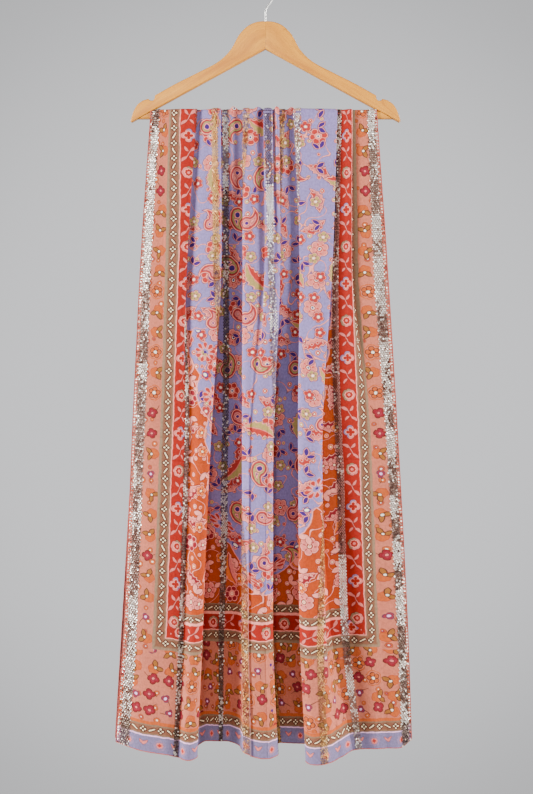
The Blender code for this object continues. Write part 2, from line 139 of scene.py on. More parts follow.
# How much each panel swells out between its two folds, at the five levels, left to right.
PANEL_CROWNS = [
    (2, 5, 8, 10, 12), (1, 2, 3, 4, 4), (0, 0, 1, 1, 2), (0, 1, 2, 2, 2), (0, 0, 0, 0, 0),
    (0, 0, 1, 1, 1), (0, 0, 1, 2, 3), (0, 1, 2, 3, 4), (0, -1, -2, -3, -2), (1, 2, 4, 5, 6),
]
HemDrop = namedtuple("HemDrop", "flat drop")
FRONT_HEM = table(
    HemDrop, (0, -10), (60, 2), (125, 12), (190, -9), (240, -9), (325, 9), (360, 4), (430, -6), (500, -3),
    (540, 19), (565, 17), (625, 2), (690, -2), (CLOTH_WIDTH, -15))
BACK_HEM = table(
    HemDrop, (0, 7), (60, 5), (125, 12), (190, -8), (240, -8), (325, 10), (360, 5), (430, -8), (500, -2),
    (545, 14), (575, 9), (625, 0), (690, 2), (CLOTH_WIDTH, -8))
# Soft ridges and troughs on the falls: the flat place and how it drifts from the top to the bottom,
# half width, the drops where it starts and ends, and how far it stands out.
Ridge = namedtuple("Ridge", "flat drift width start end height")
FRONT_RIDGES = table(
    Ridge, (22, 4, 9, -60, 420, 2.2), (44, 8, 10, -60, 700, -2.4), (66, 6, 9, -60, 520, 2.0),
    (150, -20, 9, -60, 260, -1.4), (112, -4, 11, 150, 1100, -2.2), (240, 4, 8, -60, 210, 3.0),
    (232, -6, 12, 260, 1100, 1.6), (214, -8, 9, 380, 1100, -1.4), (308, -6, 7, -60, 320, 1.6),
    (316, 0, 8, 500, 1100, 1.2), (446, 4, 9, 120, 900, 1.6), (462, 0, 10, 420, 1100, -1.6),
    (508, 6, 9, -60, 500, -1.2), (530, 4, 8, -60, 420, 1.4), (545, 6, 11, 560, 1100, 1.8),
    (640, 6, 9, -60, 420, -1.4), (626, 6, 10, 480, 1100, -1.8), (690, -8, 9, -60, 520, 1.8),
    (684, 8, 12, 420, 1100, -2.0), (705, 0, 8, 100, 760, -1.2))
BACK_RIDGES = table(
    Ridge, (24, 6, 10, -60, 500, 2.0), (56, 4, 11, 100, 1100, -2.4), (120, -6, 12, 200, 1100, 2.0),
    (232, -4, 10, -60, 480, 1.8), (226, 0, 12, 420, 1100, -1.8), (316, 2, 8, 260, 1100, 1.6),
    (440, 4, 10, 60, 900, -1.6), (470, -4, 10, 500, 1100, 1.6), (520, 8, 9, -60, 640, 1.4),
    (640, 4, 10, 200, 1100, -1.8), (694, -6, 10, -60, 800, 2.0))
# The small rolls that stand up where the gathers cross the bar.
Roll = namedtuple("Roll", "flat width height")
BAR_ROLLS = table(Roll, (242, 5.5, 6.2), (313, 6, 5.0), (391, 4.5, 4.6), (444, 5, 5.0))
FRONT_ROWS, BAR_ROWS, BACK_ROWS = 150, 22, 110
EVEN_SPACING = 0.75  # how evenly the rows of a fall lie, up to 1
BEND_STEPS = 3  # columns between two control points of a fold
PANEL_STEPS = 8  # columns in each half of a panel
CLEAR_OF_EDGE = 1.5
WANDER = 0.9  # how far the panels stray from their even form
WANDER_START = 90.0  # the drop from which they stray in full
OVER_BAR = math.pi * (BAR_ROUND + 3.0)  # cloth over the bar, from axis to axis
CLOTH_LENGTH = FRONT_LENGTH + OVER_BAR + BACK_LENGTH


def monotone(knots, values, places):
    """A smooth curve through the values that never overshoots them."""
    knots, values, places = (np.asarray(a, float) for a in (knots, values, places))
    steps = np.diff(knots)
    slopes = np.diff(values) / steps
    bends = np.zeros(len(knots))
    bends[0], bends[-1] = slopes[0], slopes[-1]
    same_way = slopes[:-1] * slopes[1:] > 0
    total = np.where(same_way, slopes[:-1] + slopes[1:], 1.0)
    bends[1:-1] = np.where(same_way, 2 * slopes[:-1] * slopes[1:] / total, 0.0)
    cell = np.clip(np.searchsorted(knots, places, side="right") - 1, 0, len(steps) - 1)
    t = np.clip((places - knots[cell]) / steps[cell], 0, 1)
    h = steps[cell]
    return ((1 + 2 * t) * (1 - t) ** 2 * values[cell] + t * (1 - t) ** 2 * h * bends[cell]
            + t * t * (3 - 2 * t) * values[cell + 1] + t * t * (t - 1) * h * bends[cell + 1])


def spline(points, steps):
    """A centripetal Catmull-Rom curve through 2D points: its points and its unit tangents."""
    ends = np.vstack([2 * points[0] - points[1], points, 2 * points[-1] - points[-2]])
    knots = np.concatenate([[0], np.cumsum(np.sqrt(np.linalg.norm(np.diff(ends, axis=0), axis=1)) + 1e-6)])
    place, tangent = [], []
    for i, parts in enumerate(steps):
        p0, p1, p2, p3 = ends[i:i + 4]
        k0, k1, k2, k3 = knots[i:i + 4]
        m1 = (k2 - k1) * ((p1 - p0) / (k1 - k0) - (p2 - p0) / (k2 - k0) + (p2 - p1) / (k2 - k1))
        m2 = (k2 - k1) * ((p2 - p1) / (k2 - k1) - (p3 - p1) / (k3 - k1) + (p3 - p2) / (k3 - k2))
        last = i == len(steps) - 1
        t = (np.arange(parts + last) / parts)[:, None]
        place.append((2 * t ** 3 - 3 * t * t + 1) * p1 + (t ** 3 - 2 * t * t + t) * m1
                     + (3 * t * t - 2 * t ** 3) * p2 + (t ** 3 - t * t) * m2)
        tangent.append((6 * t * t - 6 * t) * (p1 - p2) + (3 * t * t - 4 * t + 1) * m1
                       + (3 * t * t - 2 * t) * m2)
    tangent = np.vstack(tangent)
    return np.vstack(place), tangent / np.linalg.norm(tangent, axis=1)[:, None]


def fold_controls(over, x, lift, low, lap):
    """The control points of one fold, left to right along the cloth, and the edge's index."""
    depth = lift - low
    reach = 2.5 + 0.22 * depth  # how far the turn's roundness reaches along the layers
    points = [
        (x - reach, lift),
        (x, lift - 0.25 * depth),
        (x - min(lap / 3, reach), lift - 0.45 * depth),
        (x - max(2 * lap / 3, lap - reach), low + 0.45 * depth),
        (x - lap, low + 0.25 * depth),
        (x - lap + reach, low),
        (max(x, x - lap + reach) + CLEAR_OF_EDGE, low),
    ]
    if over > 0:
        return points, 1
    return [(2 * x - px, off) for px, off in reversed(points)], len(points) - 2


def fall_section(fall, drop):
    """A fall's section at a drop below the bar's axis: points (x, off), normals and flat places."""
    def at_level(values):
        return float(monotone(LEVELS, values, [drop])[0])

    left, right = fall.selvedges
    points = [(at_level(left.x), at_level(left.off))]
    marks = [(0, left.flat)]
    steps = []

    def add_panel(to, crown):
        x, off = points[-1]
        points.append(((x + to[0]) / 2, (off + to[1]) / 2 + crown))
        steps.extend([PANEL_STEPS, PANEL_STEPS])

    marks.append((1, at_level(left.middle)))
    for fold, crown in zip(fall.folds, PANEL_CROWNS):
        sizes = (at_level(v) for v in (fold.x, fold.lift, fold.low, fold.lap))
        bend, edge = fold_controls(fold.over, *sizes)
        add_panel(bend[0], at_level(crown))
        start = len(points)
        lower = len(bend) - 1 if fold.over > 0 else 0
        flat, hidden = at_level(fold.flat), at_level(fold.hidden)
        marks.extend(sorted([(start + edge, flat), (start + lower, flat + fold.over * hidden)]))
        points.extend(bend)
        steps.extend([BEND_STEPS] * (len(bend) - 1))
    end = (at_level(right.x), at_level(right.off))
    add_panel(end, at_level(PANEL_CROWNS[-1]))
    marks.append((len(points) - 1, at_level(right.middle)))
    marks.append((len(points), right.flat))
    points.append(end)

    place, tangent = spline(np.array(points), steps)
    normal = np.column_stack([-tangent[:, 1], tangent[:, 0]])
    length = np.concatenate([[0], np.cumsum(np.linalg.norm(np.diff(place, axis=0), axis=1))])
    starts = np.concatenate([[0], np.cumsum(steps)]).astype(int)
    flat = np.interp(length, [length[starts[i]] for i, _ in marks], [f for _, f in marks])
    return place, normal, flat


def with_top(folds, tops):
    """The back's folds with the front's top level put before their own four."""
    joined = []
    for own, top in zip(folds, tops):
        columns = [(t[0], *o) for o, t in zip(own[2:], top[2:])]
        joined.append(Fold(own.name, own.over, *columns))
    return joined


# A fall of the cloth; side is -1 in front of the bar and 1 behind it, and seed is its unevenness's own.
Fall = namedtuple("Fall", "folds selvedges hem ridges length rows side seed")
FRONT = Fall(FRONT_FOLDS, FRONT_SELVEDGES, FRONT_HEM, FRONT_RIDGES, FRONT_LENGTH, FRONT_ROWS, -1, 3.1)
BACK = Fall(with_top(BACK_FOLDS, FRONT_FOLDS), BACK_SELVEDGES, BACK_HEM, BACK_RIDGES, BACK_LENGTH,
            BACK_ROWS, 1, 8.7)


def swell_of(ridges, flat, drop):
    """How far the ridges stand out at flat places of one row."""
    out = np.zeros_like(flat)
    for ridge in ridges:
        centre = ridge.flat + ridge.drift * drop / FRONT_LENGTH
        middle, half = (ridge.start + ridge.end) / 2, (ridge.end - ridge.start) / 2
        along = max(0.0, 1 - ((drop - middle) / half) ** 2)
        out += ridge.height * along ** 1.2 * np.exp(-((flat - centre) / ridge.width) ** 2)
    return out


def wander(x, drop, seed):
    """A small slow unevenness, the same each run."""
    return np.array([noise.noise(Vector((v / 46, drop / 170, seed))) for v in x]) * WANDER


def fall_row(fall, drop):
    """The row of a fall at a drop below the bar's axis, and its flat places."""
    place, normal, flat = fall_section(fall, drop)
    stray = wander(place[:, 0], drop, fall.seed) * min(1, drop / WANDER_START)
    out = swell_of(fall.ridges, flat, drop) + stray
    place = place + normal * out[:, None]
    sag = monotone([h.flat for h in fall.hem], [h.drop for h in fall.hem], flat)
    y = fall.side * (BAR_ROUND + place[:, 1])
    z = BAR_AXIS - drop - sag * (drop / fall.length) ** 1.5
    return np.column_stack([place[:, 0], y, z]), flat


def bar_row(turn):
    """The row of the cloth at an angle round the bar's round top, from front (0) to back (pi)."""
    place, normal, flat = fall_section(FRONT, 0.0)
    crest = math.sin(turn) ** 2
    press = 1 - (1 - CREST_PRESS) * crest
    rolls = sum(r.height * np.exp(-((flat - r.flat) / r.width) ** 2) for r in BAR_ROLLS)
    ridges = swell_of(FRONT_RIDGES, flat, 0.0) * (1 - turn / math.pi)
    ridges = ridges + swell_of(BACK_RIDGES, flat, 0.0) * turn / math.pi
    low = FRONT_FOLDS[0].low[0]
    off = low + (place[:, 1] - low) * press + rolls * crest + ridges * normal[:, 1] * (1 - crest)
    x = place[:, 0] + ridges * normal[:, 0] * (1 - crest)
    radius = BAR_ROUND + off
    return np.column_stack([x, -radius * math.cos(turn), BAR_AXIS + radius * math.sin(turn)]), flat


def drop_at(fall, share):
    """The drop of a row at a share of the way down; the rows lie closer near the bar."""
    return fall.length * (EVEN_SPACING * share + (1 - EVEN_SPACING) * share * share)


def whole_cloth():
    """The cloth's middle face, hem to hem, as grids: points in metres, flat places and row lengths."""
    rows, lengths = [], []
    for share in np.linspace(1, 0, FRONT.rows):
        drop = drop_at(FRONT, share)
        rows.append(fall_row(FRONT, drop))
        lengths.append(FRONT_LENGTH - drop)
    for turn in np.linspace(0, math.pi, BAR_ROWS)[1:-1]:
        rows.append(bar_row(turn))
        lengths.append(FRONT_LENGTH + OVER_BAR * turn / math.pi)
    for share in np.linspace(0, 1, BACK.rows):
        drop = drop_at(BACK, share)
        rows.append(fall_row(BACK, drop))
        lengths.append(FRONT_LENGTH + OVER_BAR + drop)
    points = np.array([row[0] for row in rows]) * MM
    flats = np.array([row[1] for row in rows])
    return points, flats, np.array(lengths)


def grid_normals(points):
    along = np.gradient(points, axis=0)
    across = np.gradient(points, axis=1)
    normals = np.cross(across, along)
    return normals / np.maximum(np.linalg.norm(normals, axis=2), 1e-12)[:, :, None]


# ---------------------------------------------------------------- making meshes
def add_mesh(name, verts, faces, materials, smooth=True):
    mesh = bpy.data.meshes.new(name)
    mesh.from_pydata(np.asarray(verts, float).tolist(), [], faces)
    for mat in materials:
        mesh.materials.append(mat)
    if smooth:
        mesh.shade_smooth()
    obj = bpy.data.objects.new(name, mesh)
    bpy.context.scene.collection.objects.link(obj)
    return obj


def set_uv(mesh, name, per_vertex):
    layer = mesh.uv_layers.new(name=name)
    loops = np.empty(len(mesh.loops), dtype=np.int32)
    mesh.loops.foreach_get("vertex_index", loops)
    layer.data.foreach_set("uv", np.asarray(per_vertex, dtype=np.float32)[loops].ravel())


def loft(name, sections, material):
    """A solid through closed sections of as many points each, with flat ends."""
    count, sides, _ = sections.shape
    index = np.arange(count * sides).reshape(count, sides)
    right = np.roll(index, -1, axis=1)
    quads = np.stack([index[1:], right[1:], right[:-1], index[:-1]], axis=-1).reshape(-1, 4)
    ends = [index[0].tolist(), index[-1][::-1].tolist()]
    return add_mesh(name, sections.reshape(-1, 3), quads.tolist() + ends, [material])


def tube(name, path, radii, sides, mat, uv_name):
    """A round tube along a path of points, in metres, with capped ends and a map along it."""
    path = np.array(path, float)
    tangent = np.gradient(path, axis=0)
    tangent /= np.linalg.norm(tangent, axis=1)[:, None]
    up = np.array((0.0, 1.0, 0.0))
    sections, uvs = [], []
    lengths = np.concatenate([[0], np.cumsum(np.linalg.norm(np.diff(path, axis=0), axis=1))])
    turns = np.linspace(0, math.tau, sides, endpoint=False)
    for place, way, radius, length in zip(path, tangent, radii, lengths):
        side = np.cross(way, up)
        side /= np.linalg.norm(side)
        other = np.cross(side, way)
        sections.append([place + radius * (math.cos(a) * side + math.sin(a) * other) for a in turns])
        uvs += [(length, a / math.tau * 0.01) for a in turns]
    obj = loft(name, np.array(sections), mat)
    bm = bmesh.new()
    bm.from_mesh(obj.data)
    bmesh.ops.recalc_face_normals(bm, faces=bm.faces)
    bm.to_mesh(obj.data)
    bm.free()
    set_uv(obj.data, uv_name, uvs)
    return obj


# How the baked map of a box is laid out: where its back starts, and how far its three sides reach.
BOX_BACK = 0.5
BOX_WIDTH, BOX_HEIGHT, BOX_DEPTH = 0.99, 0.45, 0.04


def box_uv(mesh):
    """The map that the finish is baked through: the faces in front below those behind."""
    co = np.array([v.co for v in mesh.vertices])
    low, high = co.min(axis=0), co.max(axis=0)
    share = (co - low) / np.maximum(high - low, 1e-6)
    layer = mesh.uv_layers.new(name="OFBake")
    for poly in mesh.polygons:
        start = BOX_BACK if poly.normal.y > 0 else 0.0
        for loop in poly.loop_indices:
            x, y, z = share[mesh.loops[loop].vertex_index]
            layer.data[loop].uv = (x * BOX_WIDTH, start + z * BOX_HEIGHT + y * BOX_DEPTH)


def apply_modifiers(obj):
    evaluated = obj.evaluated_get(bpy.context.evaluated_depsgraph_get())
    mesh = bpy.data.meshes.new_from_object(evaluated)
    obj.modifiers.clear()
    obj.data = mesh


def ride_as(obj, node):
    """Puts a piece on the one body, and in the place of a solid if it has one."""
    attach(obj, "root")
    if node:
        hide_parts(node)


# A stretch of the cloth: its grids, which part of the flat length it is, and how it is held.
Stretch = namedtuple("Stretch", "name points normals flats lengths flat_length held")
BAKE_OUTER = 0.74  # share of the baked square's width that the right side of the cloth takes
BAKE_GAP = 0.01


def wall_faces(rows, columns):
    """The faces of a closed wall: its right side, its wrong side and its rim."""
    count = rows * columns
    index = np.arange(count).reshape(rows, columns)
    outer = np.stack([index[:-1, :-1], index[:-1, 1:], index[1:, 1:], index[1:, :-1]], axis=-1)
    outer = outer.reshape(-1, 4)
    rim = np.concatenate([index[0, :], index[1:, -1], index[-1, -2::-1], index[-2:0:-1, 0]])
    following = np.roll(rim, -1)
    edge = np.stack([rim, rim + count, following + count, following], axis=-1)
    return np.vstack([outer, (outer + count)[:, ::-1], edge])


def cloth_piece(stretch, right_side, wrong_side):
    """A thin closed wall of cloth along a stretch, with its right and its wrong side."""
    rows, columns = stretch.flats.shape
    half = CLOTH_THICKNESS * MM / 2 * stretch.normals
    verts = np.vstack([(stretch.points + half).reshape(-1, 3), (stretch.points - half).reshape(-1, 3)])
    faces = wall_faces(rows, columns)
    obj = add_mesh(f"cloth_{stretch.name}", verts, faces.tolist(), [right_side, wrong_side])
    mesh = obj.data
    side_faces = (rows - 1) * (columns - 1)
    slots = np.zeros(len(faces), dtype=np.int32)
    slots[side_faces:2 * side_faces] = 1
    mesh.polygons.foreach_set("material_index", slots)
    flats, lengths = stretch.flats.ravel(), stretch.lengths
    flat_uv = np.column_stack([flats, np.repeat(lengths, columns)]) * MM
    set_uv(mesh, "flat", np.vstack([flat_uv, flat_uv]))
    across = flats / CLOTH_WIDTH
    along = np.repeat((lengths - lengths[0]) / (lengths[-1] - lengths[0]), columns)
    outer_uv = np.column_stack([across * (BAKE_OUTER - BAKE_GAP), along])
    inner_uv = np.column_stack([BAKE_OUTER + across * (1 - BAKE_OUTER), along])
    set_uv(mesh, "OFBake", np.vstack([outer_uv, inner_uv]))
    flat_normals = stretch.normals.reshape(-1, 3)
    mesh.normals_split_custom_set_from_vertices(np.vstack([flat_normals, -flat_normals]).tolist())
    ride_as(obj, f"stole_{stretch.name}")
    flat_size = (CLOTH_WIDTH * MM, stretch.flat_length * MM)


# ---------------------------------------------------------------- shaders
class Value:
    """A socket in a shader, with Python's operators on numbers."""

    def __init__(self, paint, socket):
        self.paint = paint
        self.socket = socket

    def math(self, operation, *others):
        return self.paint.node("ShaderNodeMath", {"operation": operation}, [self, *others])

    __add__ = __radd__ = partialmethod(math, "ADD")
    __sub__ = partialmethod(math, "SUBTRACT")
    __mul__ = __rmul__ = partialmethod(math, "MULTIPLY")
    __truediv__ = partialmethod(math, "DIVIDE")
    __neg__ = partialmethod(math, "MULTIPLY", -1.0)
    __abs__ = partialmethod(math, "ABSOLUTE")
    min = partialmethod(math, "MINIMUM")
    max = partialmethod(math, "MAXIMUM")

    def __rsub__(self, other):
        return self.paint.node("ShaderNodeMath", {"operation": "SUBTRACT"}, [other, self])


class Paint:
    """Builds one material's nodes."""

    def __init__(self, name, start=None):
        self.material = start.copy() if start else bpy.data.materials.new(name)
        self.material.name = name
        self.material.use_nodes = True
        self.tree = self.material.node_tree
        self.shader = self.tree.nodes["Principled BSDF"]

    def node(self, kind, settings=None, inputs=(), output=0):
        """Makes a node, sets it, fills its sockets by place or name, and gives one of its outputs."""
        made = self.tree.nodes.new(kind)
        for key, value in (settings or {}).items():
            setattr(made, key, value)
        pairs = inputs.items() if isinstance(inputs, dict) else enumerate(inputs)
        for key, value in pairs:
            self.fill(made.inputs[key], value)
        return Value(self, made.outputs[output])

    def fill(self, socket, value):
        if isinstance(value, Value):
            self.tree.links.new(value.socket, socket)
        else:
            socket.default_value = value

    def set(self, **values):
        for key, value in values.items():
            self.fill(self.shader.inputs[key.replace("_", " ")], value)
        return self.material

    def mix(self, share, under, over):
        """A colour: under where share is 0, over where it is 1."""
        return self.node("ShaderNodeMix", {"data_type": "RGBA"}, {0: share, 6: under, 7: over}, 2)

    def scale(self, colour, by):
        return self.node("ShaderNodeVectorMath", {"operation": "SCALE"}, {0: colour, 3: by})

    def point(self, x, y, z=0.0):
        return self.node("ShaderNodeCombineXYZ", {}, [x, y, z])

    def parts(self, vector):
        made = self.node("ShaderNodeSeparateXYZ", {}, [vector])
        outs = made.socket.node.outputs
        return tuple(Value(self, outs[i]) for i in range(3))

    def noise(self, vector, scale, detail=2.0, rough=0.5, output=0):
        return self.node("ShaderNodeTexNoise", {"noise_dimensions": "2D"},
                         {"Vector": vector, "Scale": scale, "Detail": detail, "Roughness": rough}, output)

    def bump(self, height, strength, distance):
        return self.node("ShaderNodeBump", {},
                         {"Strength": strength, "Distance": distance, "Height": height})

    def attribute(self, name):
        return self.node("ShaderNodeAttribute", {"attribute_name": name}, output=2)

    def uv(self, name):
        return self.node("ShaderNodeUVMap", {"uv_map": name})

    def vector_sum(self, vector, times, add):
        """A vector times a vector, plus a third."""
        return self.node("ShaderNodeVectorMath", {"operation": "MULTIPLY_ADD"}, [vector, times, add])

    def inside(self, depth, soft=0.5):
        """1 where depth, in mm, is above 0, with an edge of the given softness."""
        return self.node("ShaderNodeMapRange", {"interpolation_type": "SMOOTHSTEP"},
                         {0: depth, 1: -soft, 2: soft})

    def turned(self, x, y, angle):
        """A point turned about the origin by an angle."""
        cosine, sine = angle.math("COSINE"), angle.math("SINE")
        return x * cosine + y * sine, y * cosine - x * sine


# ---------------------------------------------------------------- the print
# Colours are linear reflectances.
LAVENDER = (0.280, 0.210, 0.450, 1)
LAVENDER_DEEP = (0.220, 0.166, 0.350, 1)
MAUVE = (0.085, 0.034, 0.070, 1)
PALE_PINK = (0.900, 0.290, 0.230, 1)
CORAL = (0.420, 0.034, 0.027, 1)
MOTIF_PINK = (0.700, 0.175, 0.150, 1)
PURPLE = (0.052, 0.018, 0.142, 1)
STAR_OCHRE = (0.400, 0.280, 0.090, 1)
ORANGE = (0.450, 0.062, 0.008, 1)
ORANGE_RED = (0.370, 0.040, 0.009, 1)
OXBLOOD = (0.110, 0.009, 0.008, 1)
CRIMSON = (0.240, 0.014, 0.022, 1)
CREAM = (0.900, 0.700, 0.420, 1)
PEACH = (0.740, 0.146, 0.026, 1)
BORDER_PINK = (0.570, 0.160, 0.096, 1)
BORDER_DEEP = (0.470, 0.130, 0.080, 1)
BROWN = (0.070, 0.022, 0.015, 1)
BUD_ORANGE = (0.480, 0.092, 0.022, 1)
ROSE = (0.270, 0.024, 0.040, 1)
WHITE = (0.900, 0.780, 0.620, 1)
LEAF_OCHRE = (0.303, 0.105, 0.021, 1)
BAND_BROWN = (0.215, 0.082, 0.045, 1)
BAND_KHAKI = (0.225, 0.125, 0.072, 1)
RED = (0.335, 0.016, 0.009, 1)
GREY_LILAC = (0.266, 0.166, 0.275, 1)
OLIVE_GREY = (0.263, 0.160, 0.094, 1)
MAROON = (0.060, 0.014, 0.012, 1)
NET_AND_SHADE_BROWN = (0.065, 0.036, 0.027, 1)  # the thread net that the discs are sewn on, with the painted shade between the discs
LILAC_WHITE = (0.860, 0.480, 0.740, 1)
HEM_LAVENDER = (0.190, 0.150, 0.265, 1)

# What each zone of the cloth uses for the same scattered motifs.
Palette = namedtuple("Palette", "ground deep line rim petal second leaf star heart")
FIELD = Palette(LAVENDER, LAVENDER_DEEP, MAUVE, PALE_PINK, CORAL, MOTIF_PINK, PURPLE, STAR_OCHRE, WHITE)
CORNERS = Palette(ORANGE, ORANGE_RED, OXBLOOD, PALE_PINK, MOTIF_PINK, CRIMSON, PALE_PINK, PEACH, CREAM)
BORDER = Palette(BORDER_PINK, BORDER_DEEP, BROWN, BUD_ORANGE, BUD_ORANGE, ROSE, LEAF_OCHRE, ROSE, WHITE)

# Sequin rows run the cloth's whole length: places on the flat cloth, mm.
ROW_STEP = 66.25
ROW_PLACES = [95 + ROW_STEP * i for i in range(9)]
ROW_HALF = 4.6
EDGE_BAND = (6.2, 22.0)
EDGE_LINE = 2.9  # a single looser line of discs outside the edge's band
EDGE_NET_AND_SHADE_SHARE, ROW_NET_AND_SHADE_SHARE = 0.8, 0.35  # how much of the net's thread and of the painted shade shows between the discs
ROW_NETS_START = 60  # the rows' nets lie this far in from the long edges
CORAL_REACH, CORAL_SHARE = 7.0, 0.35  # how far the edges' thread reddens the cloth, and how much

# The border's bands, from the cloth's edge inwards, mm.
FRAME_SIDE = 51.5  # where the frame of bands starts, from a long edge
FRAME_END = 168.0  # and from a hem
BROWN_BAND = 16.0
RED_BAND = 42.5
INNER_LINE = 47.0
END_BAND = 60.5  # the second brown band, which only the ends have
HEM_BAND = 28.0
HEM_BROWN = 45.0
HEM_ORANGE = 50.0
PRINT_SHIFT = 5.5  # the print lies this much nearer to the right edge
STRIP_MIDDLE = 37.5  # the side strips' row of motifs, from a long edge
STRIP_REPEAT = 33.0
FIELD_TIP = 258.0  # the field's lowest point, up from the hem
FIELD_TOP_WIDTH = CLOTH_WIDTH / 2 - FRAME_SIDE - INNER_LINE  # from the middle, as the next
FIELD_TIP_WIDTH = 46.0
FIELD_TAPER = 130.0
SCALLOP = 71.5
SCALLOP_DEPTH = 13.0
SCALLOPS = 6  # on each side, from the field's tip up
CUSP_DOT_INSET = 8.0
FAN_INSET = 27.0  # the fan of petals in each scallop, from the field's edge
NOWHERE = 99.0  # added to a distance where there is nothing to be near
DASH_REPEAT = 24.8
MEDALLION_REPEAT = 60.5
HEM_REPEAT = 45.0

# How a kind of motif is scattered: mm from one to the next, unevenness from 0 to 1, and its own shift.
Scatter = namedtuple("Scatter", "spacing jitter shift")
BUDS = Scatter(19.0, 0.65, 4.3)
BLOSSOMS = Scatter(31.0, 0.5, 2.1)
BORDER_BLOSSOMS = Scatter(24.5, 0.4, 2.1)
BIG_BLOSSOMS = Scatter(47.0, 0.4, 5.9)
PAISLEYS = Scatter(80.0, 0.3, 9.1)


def motif_places(paint, point, scatter):
    """Scattered places: the point measured from the nearest one, in mm, and three random numbers."""
    moved = paint.vector_sum(point, (1 / scatter.spacing,) * 3, (scatter.shift, scatter.shift * 1.7, 0))
    cells = paint.node("ShaderNodeTexVoronoi", {"voronoi_dimensions": "2D"},
                       {"Vector": moved, "Scale": 1.0, "Randomness": scatter.jitter})
    outs = cells.socket.node.outputs
    away = paint.node("ShaderNodeVectorMath", {"operation": "SUBTRACT"},
                      [moved, Value(paint, outs["Position"])])
    x, y, _ = paint.parts(paint.scale(away, scatter.spacing))
    chance = paint.parts(Value(paint, outs["Color"]))
    return x, y, chance


def turned_motifs(paint, point, scatter):
    """Scattered places, each turned by an angle of its own."""
    x, y, chance = motif_places(paint, point, scatter)
    x, y = paint.turned(x, y, chance[0] * math.tau)
    return x, y, chance


def distance(x, y):
    """How far a point is from the origin."""
    return x.paint.node("ShaderNodeVectorMath", {"operation": "LENGTH"}, [x.paint.point(x, y)], 1)


def petals(x, y, radius, count, notch):
    """Depth inside a flower's outline, distance from its middle and from the line between petals, mm."""
    away = distance(x, y)
    lobe = abs((y.math("ARCTAN2", x) * (count / 2)).math("COSINE"))
    depth = (lobe.math("SQRT") * notch + (1 - notch)) * radius - away
    return depth, away, lobe * away * (2 / count)


def leaf_depth(x, y, length, width, bend=0.0, teeth=0.0):
    """How far inside a leaf's outline a point is, in mm; teeth notch its sides."""
    along = x / length
    half = (1 - along * along) * width
    if teeth:
        half = half * (1 - teeth * abs((x * 0.36 - abs(y) * 0.22).math("SINE")))
    return half - abs(y - x * x * bend)


def leaf_at(x, y, place, angle, length, width, bend=0.0):
    """A leaf with its middle at a place, turned by an angle in degrees."""
    cosine, sine = math.cos(math.radians(angle)), math.sin(math.radians(angle))
    x, y = x - place[0], y - place[1]
    return leaf_depth(x * cosine + y * sine, y * cosine - x * sine, length, width, bend)


def paisley_depth(x, y, size):
    """How far inside a paisley a point is, in mm: a round head and a tail that curls over."""
    bend = size * 1.2
    beside = bend - y
    turn = x.math("ARCTAN2", beside)
    from_middle = distance(x, beside) - bend
    tail = ((1 - turn / 2.5) * size - abs(from_middle)).min(turn * bend)
    head = size * 0.96 - distance(x, y)
    return head.max(tail)


def rings(paint, colour, depth, shown, fills):
    """Paints a motif from its rim inwards; each fill starts at a depth in mm."""
    for start, fill in fills:
        colour = paint.mix(paint.inside(depth - start, 0.45) * shown, colour, fill)
    return colour


def small_buds(paint, colour, point, zone):
    """Round buds of several sizes."""
    x, y, chance = motif_places(paint, point, BUDS)
    away = distance(x, y)
    size = chance[0] * 1.8 + 2.2
    shown = chance[1].math("LESS_THAN", 0.62)
    fill = paint.mix(chance[2].math("GREATER_THAN", 0.6), zone.petal, zone.star)
    return rings(paint, colour, size - away, shown, [
        (-1.0, zone.line), (-0.5, zone.rim), (0.6, fill), (2.3, zone.heart)])


def medium_motifs(paint, colour, point, shown, zone):
    """Five-petalled flowers and pairs of leaves."""
    x, y, chance = turned_motifs(paint, point, BLOSSOMS)
    flower, away, gap = petals(x, y, 9.0, 5, 0.42)
    leaves = leaf_at(x, abs(y), (5.8, 4.5), 38, 7.4, 3.9)
    is_flower = chance[1].math("GREATER_THAN", 0.42)
    depth = leaves + (flower - leaves) * is_flower
    shown = shown * chance[2].math("LESS_THAN", 0.88)
    fill = paint.mix(chance[2].math("GREATER_THAN", 0.42), zone.petal, zone.star)
    fill = paint.mix(is_flower, zone.leaf, fill)
    colour = rings(paint, colour, depth, shown, [(-1.0, zone.line), (0.0, zone.rim), (0.9, fill)])
    on_flower = shown * is_flower
    between = paint.inside(0.6 - gap, 0.3) * paint.inside(depth - 0.8)
    colour = paint.mix(between * on_flower, colour, zone.line)
    return rings(paint, colour, 3.0 - away, on_flower, [(0.0, zone.second), (1.0, zone.heart)])


